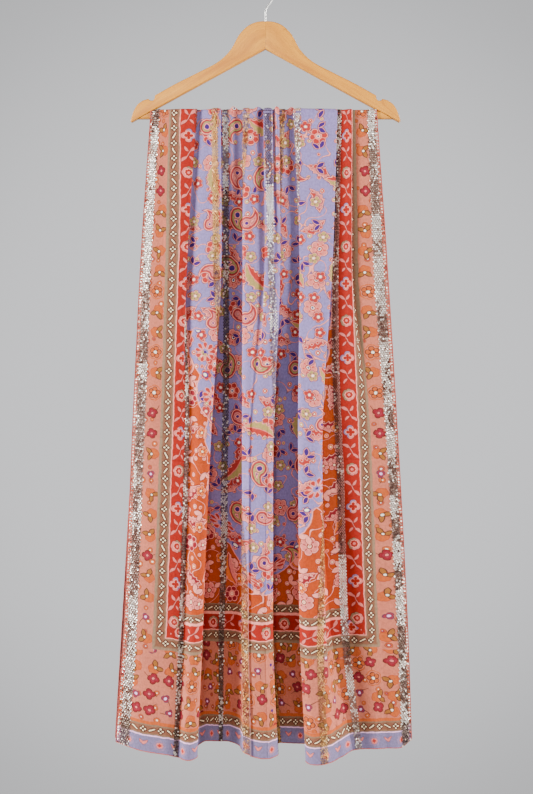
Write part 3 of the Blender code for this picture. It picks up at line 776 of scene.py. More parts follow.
def border_motifs(paint, colour, place, in_strip, in_border):
    """Buds between two leaves, crimson blossoms, bells and big ring flowers; one row in a side strip."""
    x, y, chance = motif_places(paint, place.shake, BORDER_BLOSSOMS)
    within, _, count = repeat(place.v, STRIP_REPEAT)
    drawn = paint.parts(paint.node("ShaderNodeTexWhiteNoise", {"noise_dimensions": "1D"}, {"W": count}, 1))
    x = x + (within - x) * in_strip
    y = y + (place.from_edge - STRIP_MIDDLE + (drawn[1] - 0.5) * 5 - y) * in_strip
    first, second, third = (a + (b - a) * in_strip for a, b in zip(chance, drawn))
    x, y = paint.turned(x, y, first * math.tau)
    is_bud = second.math("LESS_THAN", 0.48) * in_border
    is_blossom = second.math("GREATER_THAN", 0.74) * in_border
    is_other = in_border - is_bud - is_blossom
    is_ring = is_other * third.math("GREATER_THAN", 0.5)
    is_bell = is_other - is_ring

    body, _, _ = petals(x, y + 2.5, 8.0, 5, 0.16)
    colour = rings(paint, colour, body, is_bud, [(-0.7, ORANGE_RED), (0.0, BUD_ORANGE)])
    wings = leaf_at(abs(x), y, (5.0, 4.4), 35, 6.2, 3.1)
    colour = rings(paint, colour, wings, is_bud, [(-1.1, BROWN), (0.2, LEAF_OCHRE)])
    eye = 2.7 - distance(x, y - 1.2)
    colour = rings(paint, colour, eye, is_bud, [(-0.2, BROWN), (0.9, WHITE)])

    stem = (0.55 - abs(x + y * y * 0.03)).min(y + 15.0).min(-y)
    colour = paint.mix(paint.inside(stem, 0.3) * (is_blossom + is_bell), colour, BROWN)
    blossom, away, gap = petals(x, y, 8.2, 4, 0.4)
    colour = rings(paint, colour, blossom, is_blossom, [(-0.9, MAROON), (0.2, CRIMSON), (3.2, ROSE)])
    colour = rings(paint, colour, 2.6 - away, is_blossom, [(0.0, MAROON), (0.7, MOTIF_PINK)])
    bell, _, _ = petals(x, y, 5.6, 3, 0.5)
    colour = rings(paint, colour, bell, is_bell, [(-0.8, MAUVE), (0.3, ROSE)])
    colour = rings(paint, colour, 2.9 - away, is_bell, [(0.0, MAUVE), (0.8, LILAC_WHITE)])

    outer, away, gap = petals(x, y, 13.0, 5, 0.16)
    colour = rings(paint, colour, outer, is_ring, [(0.0, BUD_ORANGE), (1.7, BORDER_PINK)])
    inner, _, _ = petals(x, y, 9.4, 5, 0.42)
    inner = inner.min(gap - 0.5)
    colour = rings(paint, colour, inner, is_ring, [(-0.9, BROWN), (0.3, BUD_ORANGE)])
    return rings(paint, colour, 3.2 - away, is_ring, [(0.0, BROWN), (0.8, WHITE)])


def large_motifs(paint, colour, point, shown, zone):
    """Big blossoms, and toothed leaves with a coral half and berries along the middle."""
    x, y, chance = turned_motifs(paint, point, BIG_BLOSSOMS)
    flower, away, gap = petals(x, y, 14.0, 6, 0.3)
    leaf = leaf_depth(x, y, 21.0, 10.0, 0.012, 0.30)
    is_flower = chance[1].math("GREATER_THAN", 0.5)
    depth = leaf + (flower - leaf) * is_flower
    shown = shown * chance[2].math("LESS_THAN", 0.94)
    warm = chance[2].math("GREATER_THAN", 0.45)
    fill = paint.mix(warm, zone.second, zone.petal)
    other = paint.mix(warm, zone.petal, zone.second)
    from_vein = y - x * x * 0.012
    fill = paint.mix(paint.inside(from_vein, 0.4) * (1 - is_flower), fill, other)
    colour = rings(paint, colour, depth, shown, [(-1.0, zone.line), (0.0, zone.rim), (1.4, fill)])
    between = paint.inside((0.7 - gap).min(depth - 1.4), 0.3) * is_flower
    colour = paint.mix(between * shown, colour, other)
    along, _, _ = repeat(x, 9.0)
    berry = 3.3 - distance(along, from_vein)
    colour = rings(paint, colour, berry.min(14.5 - abs(x)), shown * (1 - is_flower), [
        (0.0, zone.line), (0.6, zone.rim), (1.6, zone.petal)])
    return rings(paint, colour, 5.6 - away, shown * is_flower, [
        (0.0, zone.rim), (1.0, other), (2.9, zone.heart), (3.9, zone.leaf)])


def paisleys(paint, colour, point, shown, zone):
    """Paisleys and broad leaves."""
    x, y, chance = turned_motifs(paint, point, PAISLEYS)
    drop = paisley_depth(x + 4.0, y, chance[2] * 4 + 10.5)
    leaf = leaf_depth(x, y, 29.0, 13.5, -0.009, 0.27)
    is_drop = chance[1].math("GREATER_THAN", 0.4)
    depth = leaf + (drop - leaf) * is_drop
    from_vein = y + x * x * 0.009
    half = paint.mix(paint.inside(from_vein, 0.4), zone.second, zone.star)
    half = paint.mix(paint.inside(-1.6 - from_vein, 0.4), half, zone.petal)
    colour = rings(paint, colour, depth, shown, [
        (-1.0, zone.line), (0.0, zone.rim), (1.5, paint.mix(is_drop, half, zone.petal))])
    core = paint.mix(chance[2].math("GREATER_THAN", 0.55), zone.second, zone.star)
    return rings(paint, colour, depth, shown * is_drop, [
        (3.7, zone.line), (4.5, core), (6.9, zone.line), (7.5, zone.rim), (9.0, zone.leaf)])


def repeat(along, period):
    """A point's place in a repeat, from minus half to half of it, whether that is odd, and its number."""
    count = (along / period).math("FLOOR")
    within = along - (count + 0.5) * period
    return within, count.math("FLOORED_MODULO", 2.0), count


def brown_band(paint, along, across):
    """Cream dashes, leaning one way and then the other, with four dots between them."""
    within, odd, _ = repeat(along, DASH_REPEAT)
    lean = 1 - 2 * odd
    middle = across - BROWN_BAND / 2
    x, y = within + DASH_REPEAT / 4, middle * lean
    run, side = x * 0.87 + y * 0.5, y * 0.87 - x * 0.5
    dash = 0.95 - (abs(run) - 4.4).max(0.0) - abs(side)
    x, y = abs(within - DASH_REPEAT / 4), abs(middle)
    dots = 1.35 - distance(x.max(y) - 3.0, x.min(y))
    shape = dash.max(dots)
    ground = paint.mix(paint.inside(abs(middle) - 5.8, 0.8), BAND_BROWN, BAND_KHAKI)
    colour = paint.mix(paint.inside(shape + 1.6, 0.5), ground, MAROON)
    return paint.mix(paint.inside(shape, 0.4), colour, CREAM)


# The leaves of the red band's sprig: place, angle, half length and half width, mm.
SPRIG_LEAVES = [((8.5, 7.5), 62, 6.5, 2.4), ((-8.0, -7.0), 48, 6.0, 2.2), ((8.0, -3.5), -35, 5.5, 2.0),
                ((-7.0, 4.5), 140, 5.0, 1.8)]
SPRIG_BEND = 0.03


def red_band(paint, along, across):
    """Two medallions in turn on red, with sprigs of leaves half-way between them."""
    within, odd, _ = repeat(along, MEDALLION_REPEAT)
    y = across - (BROWN_BAND + RED_BAND) / 2
    x = (MEDALLION_REPEAT / 2 - abs(within)) * (1 - 2 * within.math("GREATER_THAN", 0.0))
    sprig = (0.7 - abs(y - x * 0.5)).min(8.0 - abs(x))
    for place, angle, reach, width in SPRIG_LEAVES:
        sprig = sprig.max(leaf_at(x, y, place, angle, reach, width, SPRIG_BEND))
    colour = rings(paint, RED, sprig, 1.0, [(-0.6, OXBLOOD), (0.0, MOTIF_PINK)])
    round_depth, away, _ = petals(within, y, 10.0, 8, 0.14)
    tulip_depth, _, _ = petals(within, y, 11.0, 4, 0.45)
    shape = tulip_depth + (round_depth - tulip_depth) * odd
    half = (within * 0.35 + y).math("GREATER_THAN", 0.0)
    rim = paint.mix(half, MOTIF_PINK, paint.mix(odd, GREY_LILAC, OLIVE_GREY))
    colour = rings(paint, colour, shape, 1.0, [(-0.7, OXBLOOD), (0.0, rim), (3.0, PALE_PINK), (4.4, RED)])
    return paint.mix(paint.inside(2.3 - away) * odd, colour, MOTIF_PINK)


def hem_band(paint, along, up):
    """The lavender strip at the hem, with round flowers and leaves, and the brown band above it."""
    within, _, _ = repeat(along, HEM_REPEAT)
    y = up - 13.5
    depth, away, _ = petals(within, y, 8.6, 8, 0.2)
    x = HEM_REPEAT / 2 - abs(within)
    leaves = leaf_at(x, y, (1.4, 1.4), 45, 7.0, 2.0)
    colour = rings(paint, HEM_LAVENDER, leaves, 1.0, [(-0.4, MAUVE), (0.2, MOTIF_PINK)])
    colour = rings(paint, colour, depth, 1.0, [(0.0, GREY_LILAC), (1.8, HEM_LAVENDER), (3.2, MOTIF_PINK)])
    colour = paint.mix(paint.inside(3.4 - abs(within) - abs(y)), colour, CORAL)
    colour = paint.mix(paint.inside(up - HEM_BAND + 1.8), colour, LILAC_WHITE)
    brown = brown_band(paint, along, up - HEM_BAND - 0.5)
    colour = paint.mix(paint.inside(up - HEM_BAND), colour, brown)
    return paint.mix(paint.inside(up - HEM_BROWN), colour, BUD_ORANGE)


def field_edge(paint, aside, from_hem):
    """The field's scalloped edge: depth inside it, distance from the nearest cusp's dot, a point measured
    from the nearest fan's middle, and whether the edge is scalloped at that height."""
    level = (from_hem - FIELD_TIP).max(0.0)
    taper = (-(level / FIELD_TAPER)).math("EXPONENT")
    half_width = FIELD_TOP_WIDTH - taper * (FIELD_TOP_WIDTH - FIELD_TIP_WIDTH)
    within, _, count = repeat(from_hem - FIELD_TIP + 5.0, SCALLOP)
    scalloped = count.math("LESS_THAN", SCALLOPS - 0.5)
    curve = 1 - (within * (math.pi / SCALLOP)).math("COSINE")
    gap = half_width - curve * scalloped * SCALLOP_DEPTH - aside
    depth = (gap * 0.8).min(from_hem - FIELD_TIP)
    beside = half_width - SCALLOP_DEPTH - CUSP_DOT_INSET - aside
    above = SCALLOP / 2 - abs(within)
    to_dot = distance(beside, above) + (1 - scalloped) * NOWHERE
    return depth, to_dot, half_width - FAN_INSET - aside, within, scalloped


# Where a point lies on the flat cloth: its map, in metres, and its place across, in mm. The others are mm
# too, and shaken as a hand shakes: across and along, both together, and from the nearer edge and hem.
Place = namedtuple("Place", "flat true_u shake u v from_edge from_hem")
HAND_SHAKE = (2.2, 2.2, 0)


def place_on_cloth(paint):
    flat = paint.uv("flat")
    millimetres = paint.scale(flat, 1000.0)
    hand = paint.noise(millimetres, 0.11, 1.0, 0.5, 1)
    shake = paint.vector_sum(hand, HAND_SHAKE, millimetres)
    u, v, _ = paint.parts(shake)
    true_u, _, _ = paint.parts(millimetres)
    from_edge = u.min(CLOTH_WIDTH + PRINT_SHIFT - u)
    return Place(flat, true_u, shake, u, v, from_edge, v.min(CLOTH_LENGTH - v))


def scattered_print(paint, place):
    """The ground and its motifs in the field, the orange corners and the pink border."""
    aside = CLOTH_WIDTH / 2 - place.from_edge
    depth, to_dot, fan_x, fan_y, scalloped = field_edge(paint, aside, place.from_hem)
    in_border = paint.inside(-(place.from_edge - FRAME_SIDE).min(place.from_hem - FRAME_END))
    off_border = 1 - in_border
    in_field = paint.inside(depth)
    zone = Palette(*(paint.mix(in_border, paint.mix(in_field, corner, field), border)
                     for field, corner, border in zip(FIELD, CORNERS, BORDER)))

    at_side = place.from_hem.math("GREATER_THAN", FRAME_END - 8)
    in_strip = place.from_edge.math("LESS_THAN", FRAME_SIDE) * at_side
    colour = paint.mix(paint.noise(place.shake, 0.03, 2.0), zone.ground, zone.deep)
    stem = abs(paint.noise(place.shake, 0.019, 1.0) - 0.5)
    for width, ink in ((0.009, zone.line), (0.006, zone.rim)):
        colour = paint.mix(paint.inside(width - stem, 0.003) * off_border, colour, ink)
    colour = small_buds(paint, colour, place.shake, zone)
    for motifs in (large_motifs, medium_motifs, paisleys):
        colour = motifs(paint, colour, place.shake, off_border, zone)
    colour = border_motifs(paint, colour, place, in_strip, in_border)

    fan, away, gap = petals(fan_x, fan_y, 17.0, 9, 0.6)
    fan = fan.min(gap - 0.5).min(away - 5.5)
    colour = rings(paint, colour, fan, scalloped * in_field, [(0.0, PALE_PINK), (1.0, CORAL)])
    colour = paint.mix(paint.inside(2.4 - away) * scalloped, colour, PURPLE)
    colour = rings(paint, colour, 4.6 - to_dot, in_field * off_border, [(0.0, PURPLE), (1.7, WHITE)])
    colour = paint.mix(paint.inside(0.7 - abs(depth), 0.6) * off_border, colour, PALE_PINK)
    return colour, off_border


def framed_print(paint, place, colour, off_border):
    """Lays the frame of bands and the hem's strip over the scattered print."""
    u, v, from_hem = place.u, place.v, place.from_hem
    colour = paint.mix(paint.inside(FRAME_END + END_BAND - from_hem) * off_border, colour,
                       brown_band(paint, u, from_hem - FRAME_END - RED_BAND - 2.0))
    frame_depth = (place.from_edge - FRAME_SIDE).min(from_hem - FRAME_END)
    on_side = (from_hem - FRAME_END).math("GREATER_THAN", place.from_edge - FRAME_SIDE)
    along = v * on_side + u * (1 - on_side)
    colour = paint.mix(paint.inside(INNER_LINE - frame_depth) * off_border, colour, PALE_PINK)
    colour = paint.mix(paint.inside(RED_BAND - frame_depth) * off_border, colour,
                       red_band(paint, along, frame_depth))
    colour = paint.mix(paint.inside(1.0 - abs(frame_depth - BROWN_BAND - 0.6)), colour, PALE_PINK)
    colour = paint.mix(paint.inside(BROWN_BAND - frame_depth) * off_border, colour,
                       brown_band(paint, along, frame_depth))
    colour = paint.mix(paint.inside(1.7 - abs(frame_depth + 1.0)), colour, OLIVE_GREY)
    return paint.mix(paint.inside(HEM_ORANGE - from_hem), colour, hem_band(paint, u, from_hem))


def sequin_nets_and_shade(paint, true_u, colour):
    """Darkens the cloth under the sequins with their thread net and painted shade, and reddens it beside
    the edges' coral thread.
    """
    to_edge = true_u.min(CLOTH_WIDTH - true_u)
    in_edge_net_and_shade = paint.inside((to_edge - EDGE_BAND[0]).min(EDGE_BAND[1] - to_edge), 1.2)
    beside_row, _, _ = repeat(true_u - ROW_PLACES[0] + ROW_STEP / 2, ROW_STEP)
    colour = paint.mix(paint.inside(CORAL_REACH - to_edge, 2.0) * CORAL_SHARE, colour, CORAL)
    in_row_net_and_shade = paint.inside((ROW_HALF + 1.0 - abs(beside_row)).min(to_edge - ROW_NETS_START), 0.8)
    # Painted shade under and between the discs, together with their brown thread net.
    return paint.mix((in_edge_net_and_shade * EDGE_NET_AND_SHADE_SHARE).max(in_row_net_and_shade * ROW_NET_AND_SHADE_SHARE), colour, NET_AND_SHADE_BROWN)


def printed_colour(paint):
    """The whole print, worked out from the flat cloth's own coordinates."""
    place = place_on_cloth(paint)
    colour, off_border = scattered_print(paint, place)
    colour = framed_print(paint, place, colour, off_border)
    return sequin_nets_and_shade(paint, place.true_u, colour), place.flat


# Press creases across the falls: drop from the bar, half width, and how deep, mm.
Crease = namedtuple("Crease", "drop width depth")
CREASES = table(Crease, (242, 2.2, 2.0), (291, 2.8, 2.6), (531, 2.4, 2.9), (567, 2.0, 2.6))
CREASE_STRAY = 6 * MM  # how far they wander from a straight line
SLUBS = (340, 260)  # of the yarn, to the metre across and along
WEAVE = (700.0, 1300.0)
WRONG_SIDE_GREY = (0.44, 0.24, 0.22, 1)

# Sequin foils, with colours painted from the discs that face the light to those that lean away from it:
# painted highlight, middle and painted shade.
Foil = namedtuple("Foil", "name bright middle deep")
SILVER = Foil("silver_foil", (0.98, 0.92, 0.83, 1), (0.58, 0.42, 0.33, 1), (0.060, 0.036, 0.032, 1))
GOLD = Foil("gold_foil", (0.72, 0.385, 0.098, 1), (0.47, 0.225, 0.042, 1), (0.095, 0.038, 0.012, 1))
THREAD_DEEP = (0.30, 0.015, 0.010, 1)
THREAD_CORAL = (0.62, 0.07, 0.035, 1)

HONEY = (0.895, 0.375, 0.021, 1)
HONEY_DEEP = (0.590, 0.212, 0.012, 1)
HONEY_RED = (0.540, 0.175, 0.010, 1)
GRAIN_BROWN = (0.300, 0.105, 0.018, 1)
FLECK_BROWN = (0.180, 0.068, 0.018, 1)
EDGE_SHADE_BROWN = (0.210, 0.070, 0.012, 1)
STEEL = (0.6105, 0.5972, 0.5776, 1)
FLOOR_GREY = (0.6724, 0.6654, 0.6514, 1)


def cloth_material(name):
    """The printed cloth's right side: the print, the weave's slubs, uneven dye with painted shade of soft
    wrinkles, press creases and crumples.
    """
    paint = Paint(name)
    colour, flat = printed_colour(paint)
    u, v, _ = paint.parts(flat)
    # Uneven dye together with painted shade of soft wrinkles: a slow darkening and lightening of the print.
    dye_and_wrinkle_shade = paint.noise(flat, 9.0, 3.0)
    slub = paint.noise(paint.point(u * SLUBS[0], v * SLUBS[1]), 1.0, 2.0, 0.6)
    colour = paint.node("ShaderNodeHueSaturation", {}, {
        "Value": dye_and_wrinkle_shade * 0.16 + slub * 0.62 + 0.61, "Color": colour})
    weave = paint.node("ShaderNodeVectorMath", {"operation": "MULTIPLY"}, [flat, (*WEAVE, 0)])
    height = paint.noise(weave, 1.0, 2.0, 0.6) * 0.05
    for crease in CREASES:
        place = (FRONT_LENGTH - crease.drop) * MM
        broken = paint.noise(paint.point(u * 30, crease.drop), 1.0, 1.0)
        away = (v - place + (broken - 0.5) * CREASE_STRAY) / (crease.width * MM)
        height = height - (-(away * away)).math("EXPONENT") * broken * crease.depth
    crumple = paint.noise(flat, 30.0, 3.0, 0.55)
    height = height + crumple * 1.1
    bump = paint.bump(height, 0.5, 0.001)
    return paint.set(Base_Color=colour, Roughness=0.88, Normal=bump, Specular_IOR_Level=0.12)


def wrong_side_of(material, name, washed_out):
    """The same print seen from the back, paler and greyer."""
    paint = Paint(name, material)
    printed = Value(paint, paint.shader.inputs["Base Color"].links[0].from_socket)
    return paint.set(Base_Color=paint.mix(washed_out, printed, WRONG_SIDE_GREY))


def metal_foil(foil):
    """Sequin foil; each disc's painted highlight or painted shade comes from an attribute on its points."""
    paint = Paint(foil.name)
    tone = paint.attribute("tone")
    # Painted light: discs mix from the foil's painted shade through its middle to its painted highlight;
    # the brighter ones are also less metallic and smoother.
    colour = paint.mix((tone * 2).min(1.0), foil.deep, foil.middle)
    colour = paint.mix((tone * 2 - 1).max(0.0), colour, foil.bright)
    rough = 0.45 - tone * 0.17
    return paint.set(Base_Color=colour, Metallic=0.9 - tone * 0.6, Roughness=rough)


def thread_material():
    paint = Paint("overlock_thread")
    flat = paint.uv("flat")
    twist = paint.node("ShaderNodeTexWave", {"wave_type": "BANDS", "bands_direction": "DIAGONAL"},
                       {"Vector": flat, "Scale": 260.0, "Distortion": 2.0, "Detail": 1.0}, 1)
    colour = paint.mix(twist, THREAD_DEEP, THREAD_CORAL)
    return paint.set(Base_Color=colour, Roughness=0.7, Sheen_Weight=0.3,
                     Normal=paint.bump(twist, 0.6, 0.0006))


def wood_material():
    """Honey-coloured beech with fine grain and short rays, under a satin varnish, with painted shade on its
    rounded edges.
    """
    paint = Paint("beech")
    x, y, _ = paint.parts(paint.uv("grain"))
    drift = paint.noise(paint.point(x * 9, y * 60), 1.0, 2.0)
    years = paint.noise(paint.point(x * 5, y * 420 + drift * 6), 1.0, 3.0, 0.6)
    fine = paint.noise(paint.point(x * 45, y * 2600), 1.0, 2.0, 0.6)
    flecks = paint.noise(paint.point(x * 190, y * 1500), 1.0, 1.0, 0.5)
    colour = paint.mix(years, HONEY, HONEY_DEEP)
    for mark, least, strength, brown in ((drift, 0.47, 2.6, HONEY_RED), (fine, 0.42, 0.9, GRAIN_BROWN),
                                         (flecks, 0.62, 2.2, FLECK_BROWN)):
        colour = paint.mix((mark - least).max(0.0) * strength, colour, brown)
    # Painted shade: the rounded edges are darkened where they turn away from the front and back faces.
    colour = paint.mix(paint.attribute("edge") * 0.6, colour, EDGE_SHADE_BROWN)
    height = fine * 0.3 + flecks * 0.2
    return paint.set(Base_Color=colour, Roughness=years * 0.1 + 0.40, Coat_Weight=0.12,
                     Coat_Roughness=0.30, Normal=paint.bump(height, 0.25, 0.0004))


def steel_material():
    paint = Paint("drawn_steel")
    x, y, _ = paint.parts(paint.uv("grain"))
    streaks = paint.noise(paint.point(x * 60, y * 900), 1.0, 2.0)
    return paint.set(Base_Color=STEEL, Metallic=1.0, Roughness=streaks * 0.1 + 0.42)


# ---------------------------------------------------------------- the hanger
RAIL_TO_WOOD = 83.8
WOOD_TOP = -RAIL_TO_WOOD
ARM_MID_HEIGHT = 45.5
UNDERSIDE_APEX = WOOD_TOP - ARM_MID_HEIGHT
ARM_FALL = 0.547
ARM_THICKNESS = 12.0
ARM_EDGE_ROUND = 2.6
ARM_HALF_SPAN = 221.5
ARM_FOOT = ARM_HALF_SPAN - 2.0  # where the underside meets the tip
MITRE_GAP = 0.04
MITRE_BEVEL = 0.04  # share of the edges' rounding that the mitre has
ArmPoint = namedtuple("ArmPoint", "out down")
ARM_TOP_EDGE = table(
    ArmPoint, (0, 0), (14, 1.3), (28, 7.2), (42.5, 21.3), (57.3, 47.1), (76.4, 65.7), (113, 85.4),
    (148, 103), (181.3, 121.7))
NOTCH = table(ArmPoint, (182.0, 127.0), (184.5, 130.2), (189.0, 130.0), (192.1, 127.3))
ARM_TIP = table(ArmPoint, (201, 130), (209.7, 136.6), (215.6, 146), (219.6, 157), (ARM_HALF_SPAN, 163.5))
HOOK_WIRE = 3.2
HOOK_SIDES = 16
HOOK_BEND = 23.6
HOOK_CORNER = 4.0  # how far the bend above the neck reaches
NECK_RISE = 20.0
SHANK_IN_WOOD = 24.0
HOOK_TIP_ANGLE = math.radians(203)
HOOK_TIP = [(-0.8, -2.6), (-2.1, -4.8), (-2.5, -5.5)]  # the end's turn-out, from where the round stops
HOOK_END_SHARE = 0.6  # of the wire's radius, at its blunted end
BAR_DEPTH = 10.0
BAR_HEIGHT = 14.0
BAR_FOOT_ROUND = 3.0
BAR_SECTIONS = 25
SEAM = 0.3
GRAIN_WIDTH = 0.03  # of an arm on the wood's map
GRAIN_THROUGH = 0.35  # how fast the map goes on over the arm's thickness
GRAIN_APART = 0.4  # the two arms and the bar lie apart on it
BAR_GRAIN_START = 0.7


def smooth_line(points, parts):
    line = np.array(points, float)
    return spline(line, [parts] * (len(line) - 1))[0]


def arm_outline():
    """An arm's outline: out from the middle and height, mm."""
    top = smooth_line(ARM_TOP_EDGE, 8)
    tip = smooth_line(ARM_TIP, 4)
    outline = [(max(out, MITRE_GAP), WOOD_TOP - down) for out, down in [*top, *NOTCH, *tip]]
    outline.append((ARM_FOOT, UNDERSIDE_APEX - ARM_FALL * ARM_FOOT))
    outline.append((MITRE_GAP, UNDERSIDE_APEX))
    return outline


def arm_blank(name, side):
    """An arm with sharp edges, and how much of the rounding each edge will take."""
    bm = bmesh.new()
    front = [bm.verts.new((side * out * MM, -ARM_THICKNESS / 2 * MM, z * MM)) for out, z in arm_outline()]
    face = bm.faces.new(front)
    back = bmesh.ops.extrude_face_region(bm, geom=[face])
    moved = [v for v in back["geom"] if isinstance(v, bmesh.types.BMVert)]
    bmesh.ops.translate(bm, verts=moved, vec=(0, ARM_THICKNESS * MM, 0))
    bmesh.ops.recalc_face_normals(bm, faces=bm.faces)
    weights = bm.edges.layers.float.new("bevel_weight_edge")
    for edge in bm.edges:
        a, b = (v.co for v in edge.verts)
        across = abs(a.y - b.y) > ARM_THICKNESS / 2 * MM
        at_mitre = max(abs(a.x), abs(b.x)) < MM
        edge[weights] = 0.0 if across else MITRE_BEVEL if at_mitre else 1.0
    mesh = bpy.data.meshes.new(name)
    bm.to_mesh(mesh)
    bm.free()
    arm = bpy.data.objects.new(name, mesh)
    bpy.context.scene.collection.objects.link(arm)
    return arm


def arm_grain(mesh, side):
    """The wood's map: out from the middle, and down from the top edge, so the grain runs along the arm."""
    top = smooth_line(ARM_TOP_EDGE, 8)
    top_out = [*top[:, 0], ARM_HALF_SPAN]
    top_down = [*top[:, 1], ARM_TIP[-1].down]
    grain = []
    for v in mesh.vertices:
        out, down = abs(v.co.x) / MM, WOOD_TOP - v.co.z / MM
        top_here = np.interp(out, top_out, top_down)
        under = ARM_MID_HEIGHT + ARM_FALL * out
        share = (down - top_here) / max(under - top_here, 4.0)
        grain.append((out * MM, share * GRAIN_WIDTH + v.co.y * GRAIN_THROUGH + side * GRAIN_APART))
    return grain


def make_arm(name, node, side, mat):
    """One arm: its outline cut through, with rounded edges painted a little darker as painted shade."""
    arm = arm_blank(name, side)
    bevel = arm.modifiers.new("rounded_edges", "BEVEL")
    bevel.width = ARM_EDGE_ROUND * MM
    bevel.segments = 4
    bevel.limit_method = "WEIGHT"
    apply_modifiers(arm)
    mesh = arm.data
    mesh.materials.append(mat)
    mesh.shade_smooth()
    mesh.set_sharp_from_angle(angle=math.radians(35))
    set_uv(mesh, "grain", arm_grain(mesh, side))
    # Painted shade on the rounded edges, for the wood's material.
    painted_edge_shade = [(1 - abs(v.normal.y) ** 3) * (abs(v.co.x) > MM) for v in mesh.vertices]
    mesh.attributes.new("edge", "FLOAT", "POINT").data.foreach_set("value", painted_edge_shade)
    box_uv(mesh)
    ride_as(arm, node)


def make_hook(mat):
    """The wire: a shank in the wood, a bend above the neck, a leaning run, the round and its end."""
    centre = HOOK_WIRE / 2 - HOOK_BEND
    neck = WOOD_TOP + NECK_RISE
    lean = math.asin(HOOK_BEND / (centre - neck))
    straight = SHANK_IN_WOOD + NECK_RISE - HOOK_CORNER
    points = [(0.0, WOOD_TOP - SHANK_IN_WOOD + t * straight) for t in np.linspace(0, 1, 8)]
    for t in np.linspace(0.1, 1, 10):
        points.append((HOOK_CORNER * t * t * math.sin(lean),
                       neck - HOOK_CORNER * (1 - t) ** 2 + HOOK_CORNER * t * t * math.cos(lean)))
    start = np.array(points[-1])
    joins = np.array((HOOK_BEND * math.cos(lean), centre - HOOK_BEND * math.sin(lean)))
    points += [tuple(start + (joins - start) * t) for t in (0.25, 0.5, 0.75)]
    for a in np.linspace(-lean, HOOK_TIP_ANGLE, 60):
        points.append((HOOK_BEND * math.cos(a), centre + HOOK_BEND * math.sin(a)))
    x, z = points[-1]
    points += [(x + dx, z + dz) for dx, dz in HOOK_TIP]
    path = [(px * MM, 0.0, pz * MM) for px, pz in points]
    radii = [HOOK_WIRE / 2 * MM] * len(path)
    radii[-1] *= HOOK_END_SHARE
    hook = tube("hook_wire", path, radii, HOOK_SIDES, mat, "grain")
    box_uv(hook.data)
    ride_as(hook, "hook")


def arc(centre, radius, start, end, points):
    """Points along a round corner of an outline."""
    return [(centre[0] + radius * math.cos(a), centre[1] + radius * math.sin(a))
            for a in np.linspace(start, end, points)]


def make_bar(mat):
    """The trouser bar, with a round top and softly rounded foot."""
    half, corner = BAR_DEPTH / 2, BAR_FOOT_ROUND
    foot = BAR_TOP - BAR_HEIGHT + corner
    profile = arc((0.0, BAR_AXIS), half, 0, math.pi, 17)
    profile += arc((corner - half, foot), corner, math.pi, 1.5 * math.pi, 7)
    profile += arc((half - corner, foot), corner, 1.5 * math.pi, math.tau, 7)
    gap = 2 * SEAM / ARM_FALL
    sections = np.array([[(share * ((UNDERSIDE_APEX - z) / ARM_FALL - gap), y, z) for y, z in profile]
                         for share in np.linspace(-1, 1, BAR_SECTIONS)]) * MM
    bar = loft("hanger_bar", sections, mat)
    bar.data.set_sharp_from_angle(angle=math.radians(40))
    x, y, z = sections.reshape(-1, 3).T
    set_uv(bar.data, "grain", np.column_stack([x + BAR_GRAIN_START, z + y * 0.6]))
    box_uv(bar.data)
    ride_as(bar, "trouser_bar")


# ---------------------------------------------------------------- sequins and edges
# The discs of the edges' bands and, smaller, of the narrow rows, mm, and how much the light painted on them
# changes along.
Disc = namedtuple("Disc", "pitch radius hole contrast")
EDGE_DISC = Disc(4.0, 1.65, 0.6, 1.8)
ROW_DISC = Disc(2.9, 1.3, 0.4, 0.8)
DISC_CUP = 0.26  # how far the rim stands above the hole
DISC_CORNERS = 6
STAND = (0.4, 0.8)  # how far the discs stand off the cloth
SLIP, TILT, TWIST = 0.11, 0.17, 0.3  # how far a disc strays from its even place, mm, and leans and turns
SHADED_DISC_SHARE = 0.50  # of the discs are painted dark, as painted shade of discs that lean away from the light
SHADED_SHARE_LIMITS = (0.08, 0.9)
# The range of the painted shade and of the painted highlight on the discs, from 0 to 1.
PAINTED_SHADE_RANGE, PAINTED_HIGHLIGHT_RANGE = (0, 0.25), (0.65, 1)
CLUMP = 5.5  # the size of a clump of discs painted dark, mm
CLUMP_PULL = 0.4  # how strongly the discs keep to their clumps
GROUP_WIDTH, GROUP_LENGTH = 30.0, 46.0  # how far the discs that flash together reach, mm
END_CLEAR = 1.5  # from a stretch's ends to its first and last discs
OVERLOCK_RADIUS = 0.8
OVERLOCK_SIDES = 8
STITCH_SWELL, STITCH_TURN = 0.16, 1.9  # how the thread swells and thins along, and its turn at each step
# Where along a row the discs are painted brighter or duller, as painted glints and painted shade: the flat
# place and the drops below the bar.
Glint = namedtuple("Glint", "flat start end tone")
GLINT_REACH = 8.0
GLINT_COUNT, GLINT_TONE = 0.7, 0.35  # how much a glint changes the number of discs painted bright, and the light painted on them
GLINTS = table(
    Glint, (ROW_PLACES[0], -30, 1100, -0.28), (ROW_PLACES[1], -30, 260, 0.35),
    (ROW_PLACES[1], 500, 1100, -0.25), (ROW_PLACES[2], -30, 120, 0.20), (ROW_PLACES[2], 120, 1100, -0.30),
    (ROW_PLACES[3], 80, 1100, -0.15), (ROW_PLACES[4], -30, 118, -0.50), (ROW_PLACES[4], 118, 352, 0.24),
    (ROW_PLACES[4], 352, 1100, -0.15), (ROW_PLACES[6], -30, 160, 0.25), (ROW_PLACES[8], 60, 720, -0.60),
    (ROW_PLACES[8], 720, 860, 0.20), (ROW_PLACES[8], 860, 900, -0.30), (ROW_PLACES[8], 900, 1100, 0.15),
    (CLOTH_WIDTH - 14, -30, 300, 0.35), (14, 40, 220, 0.25))


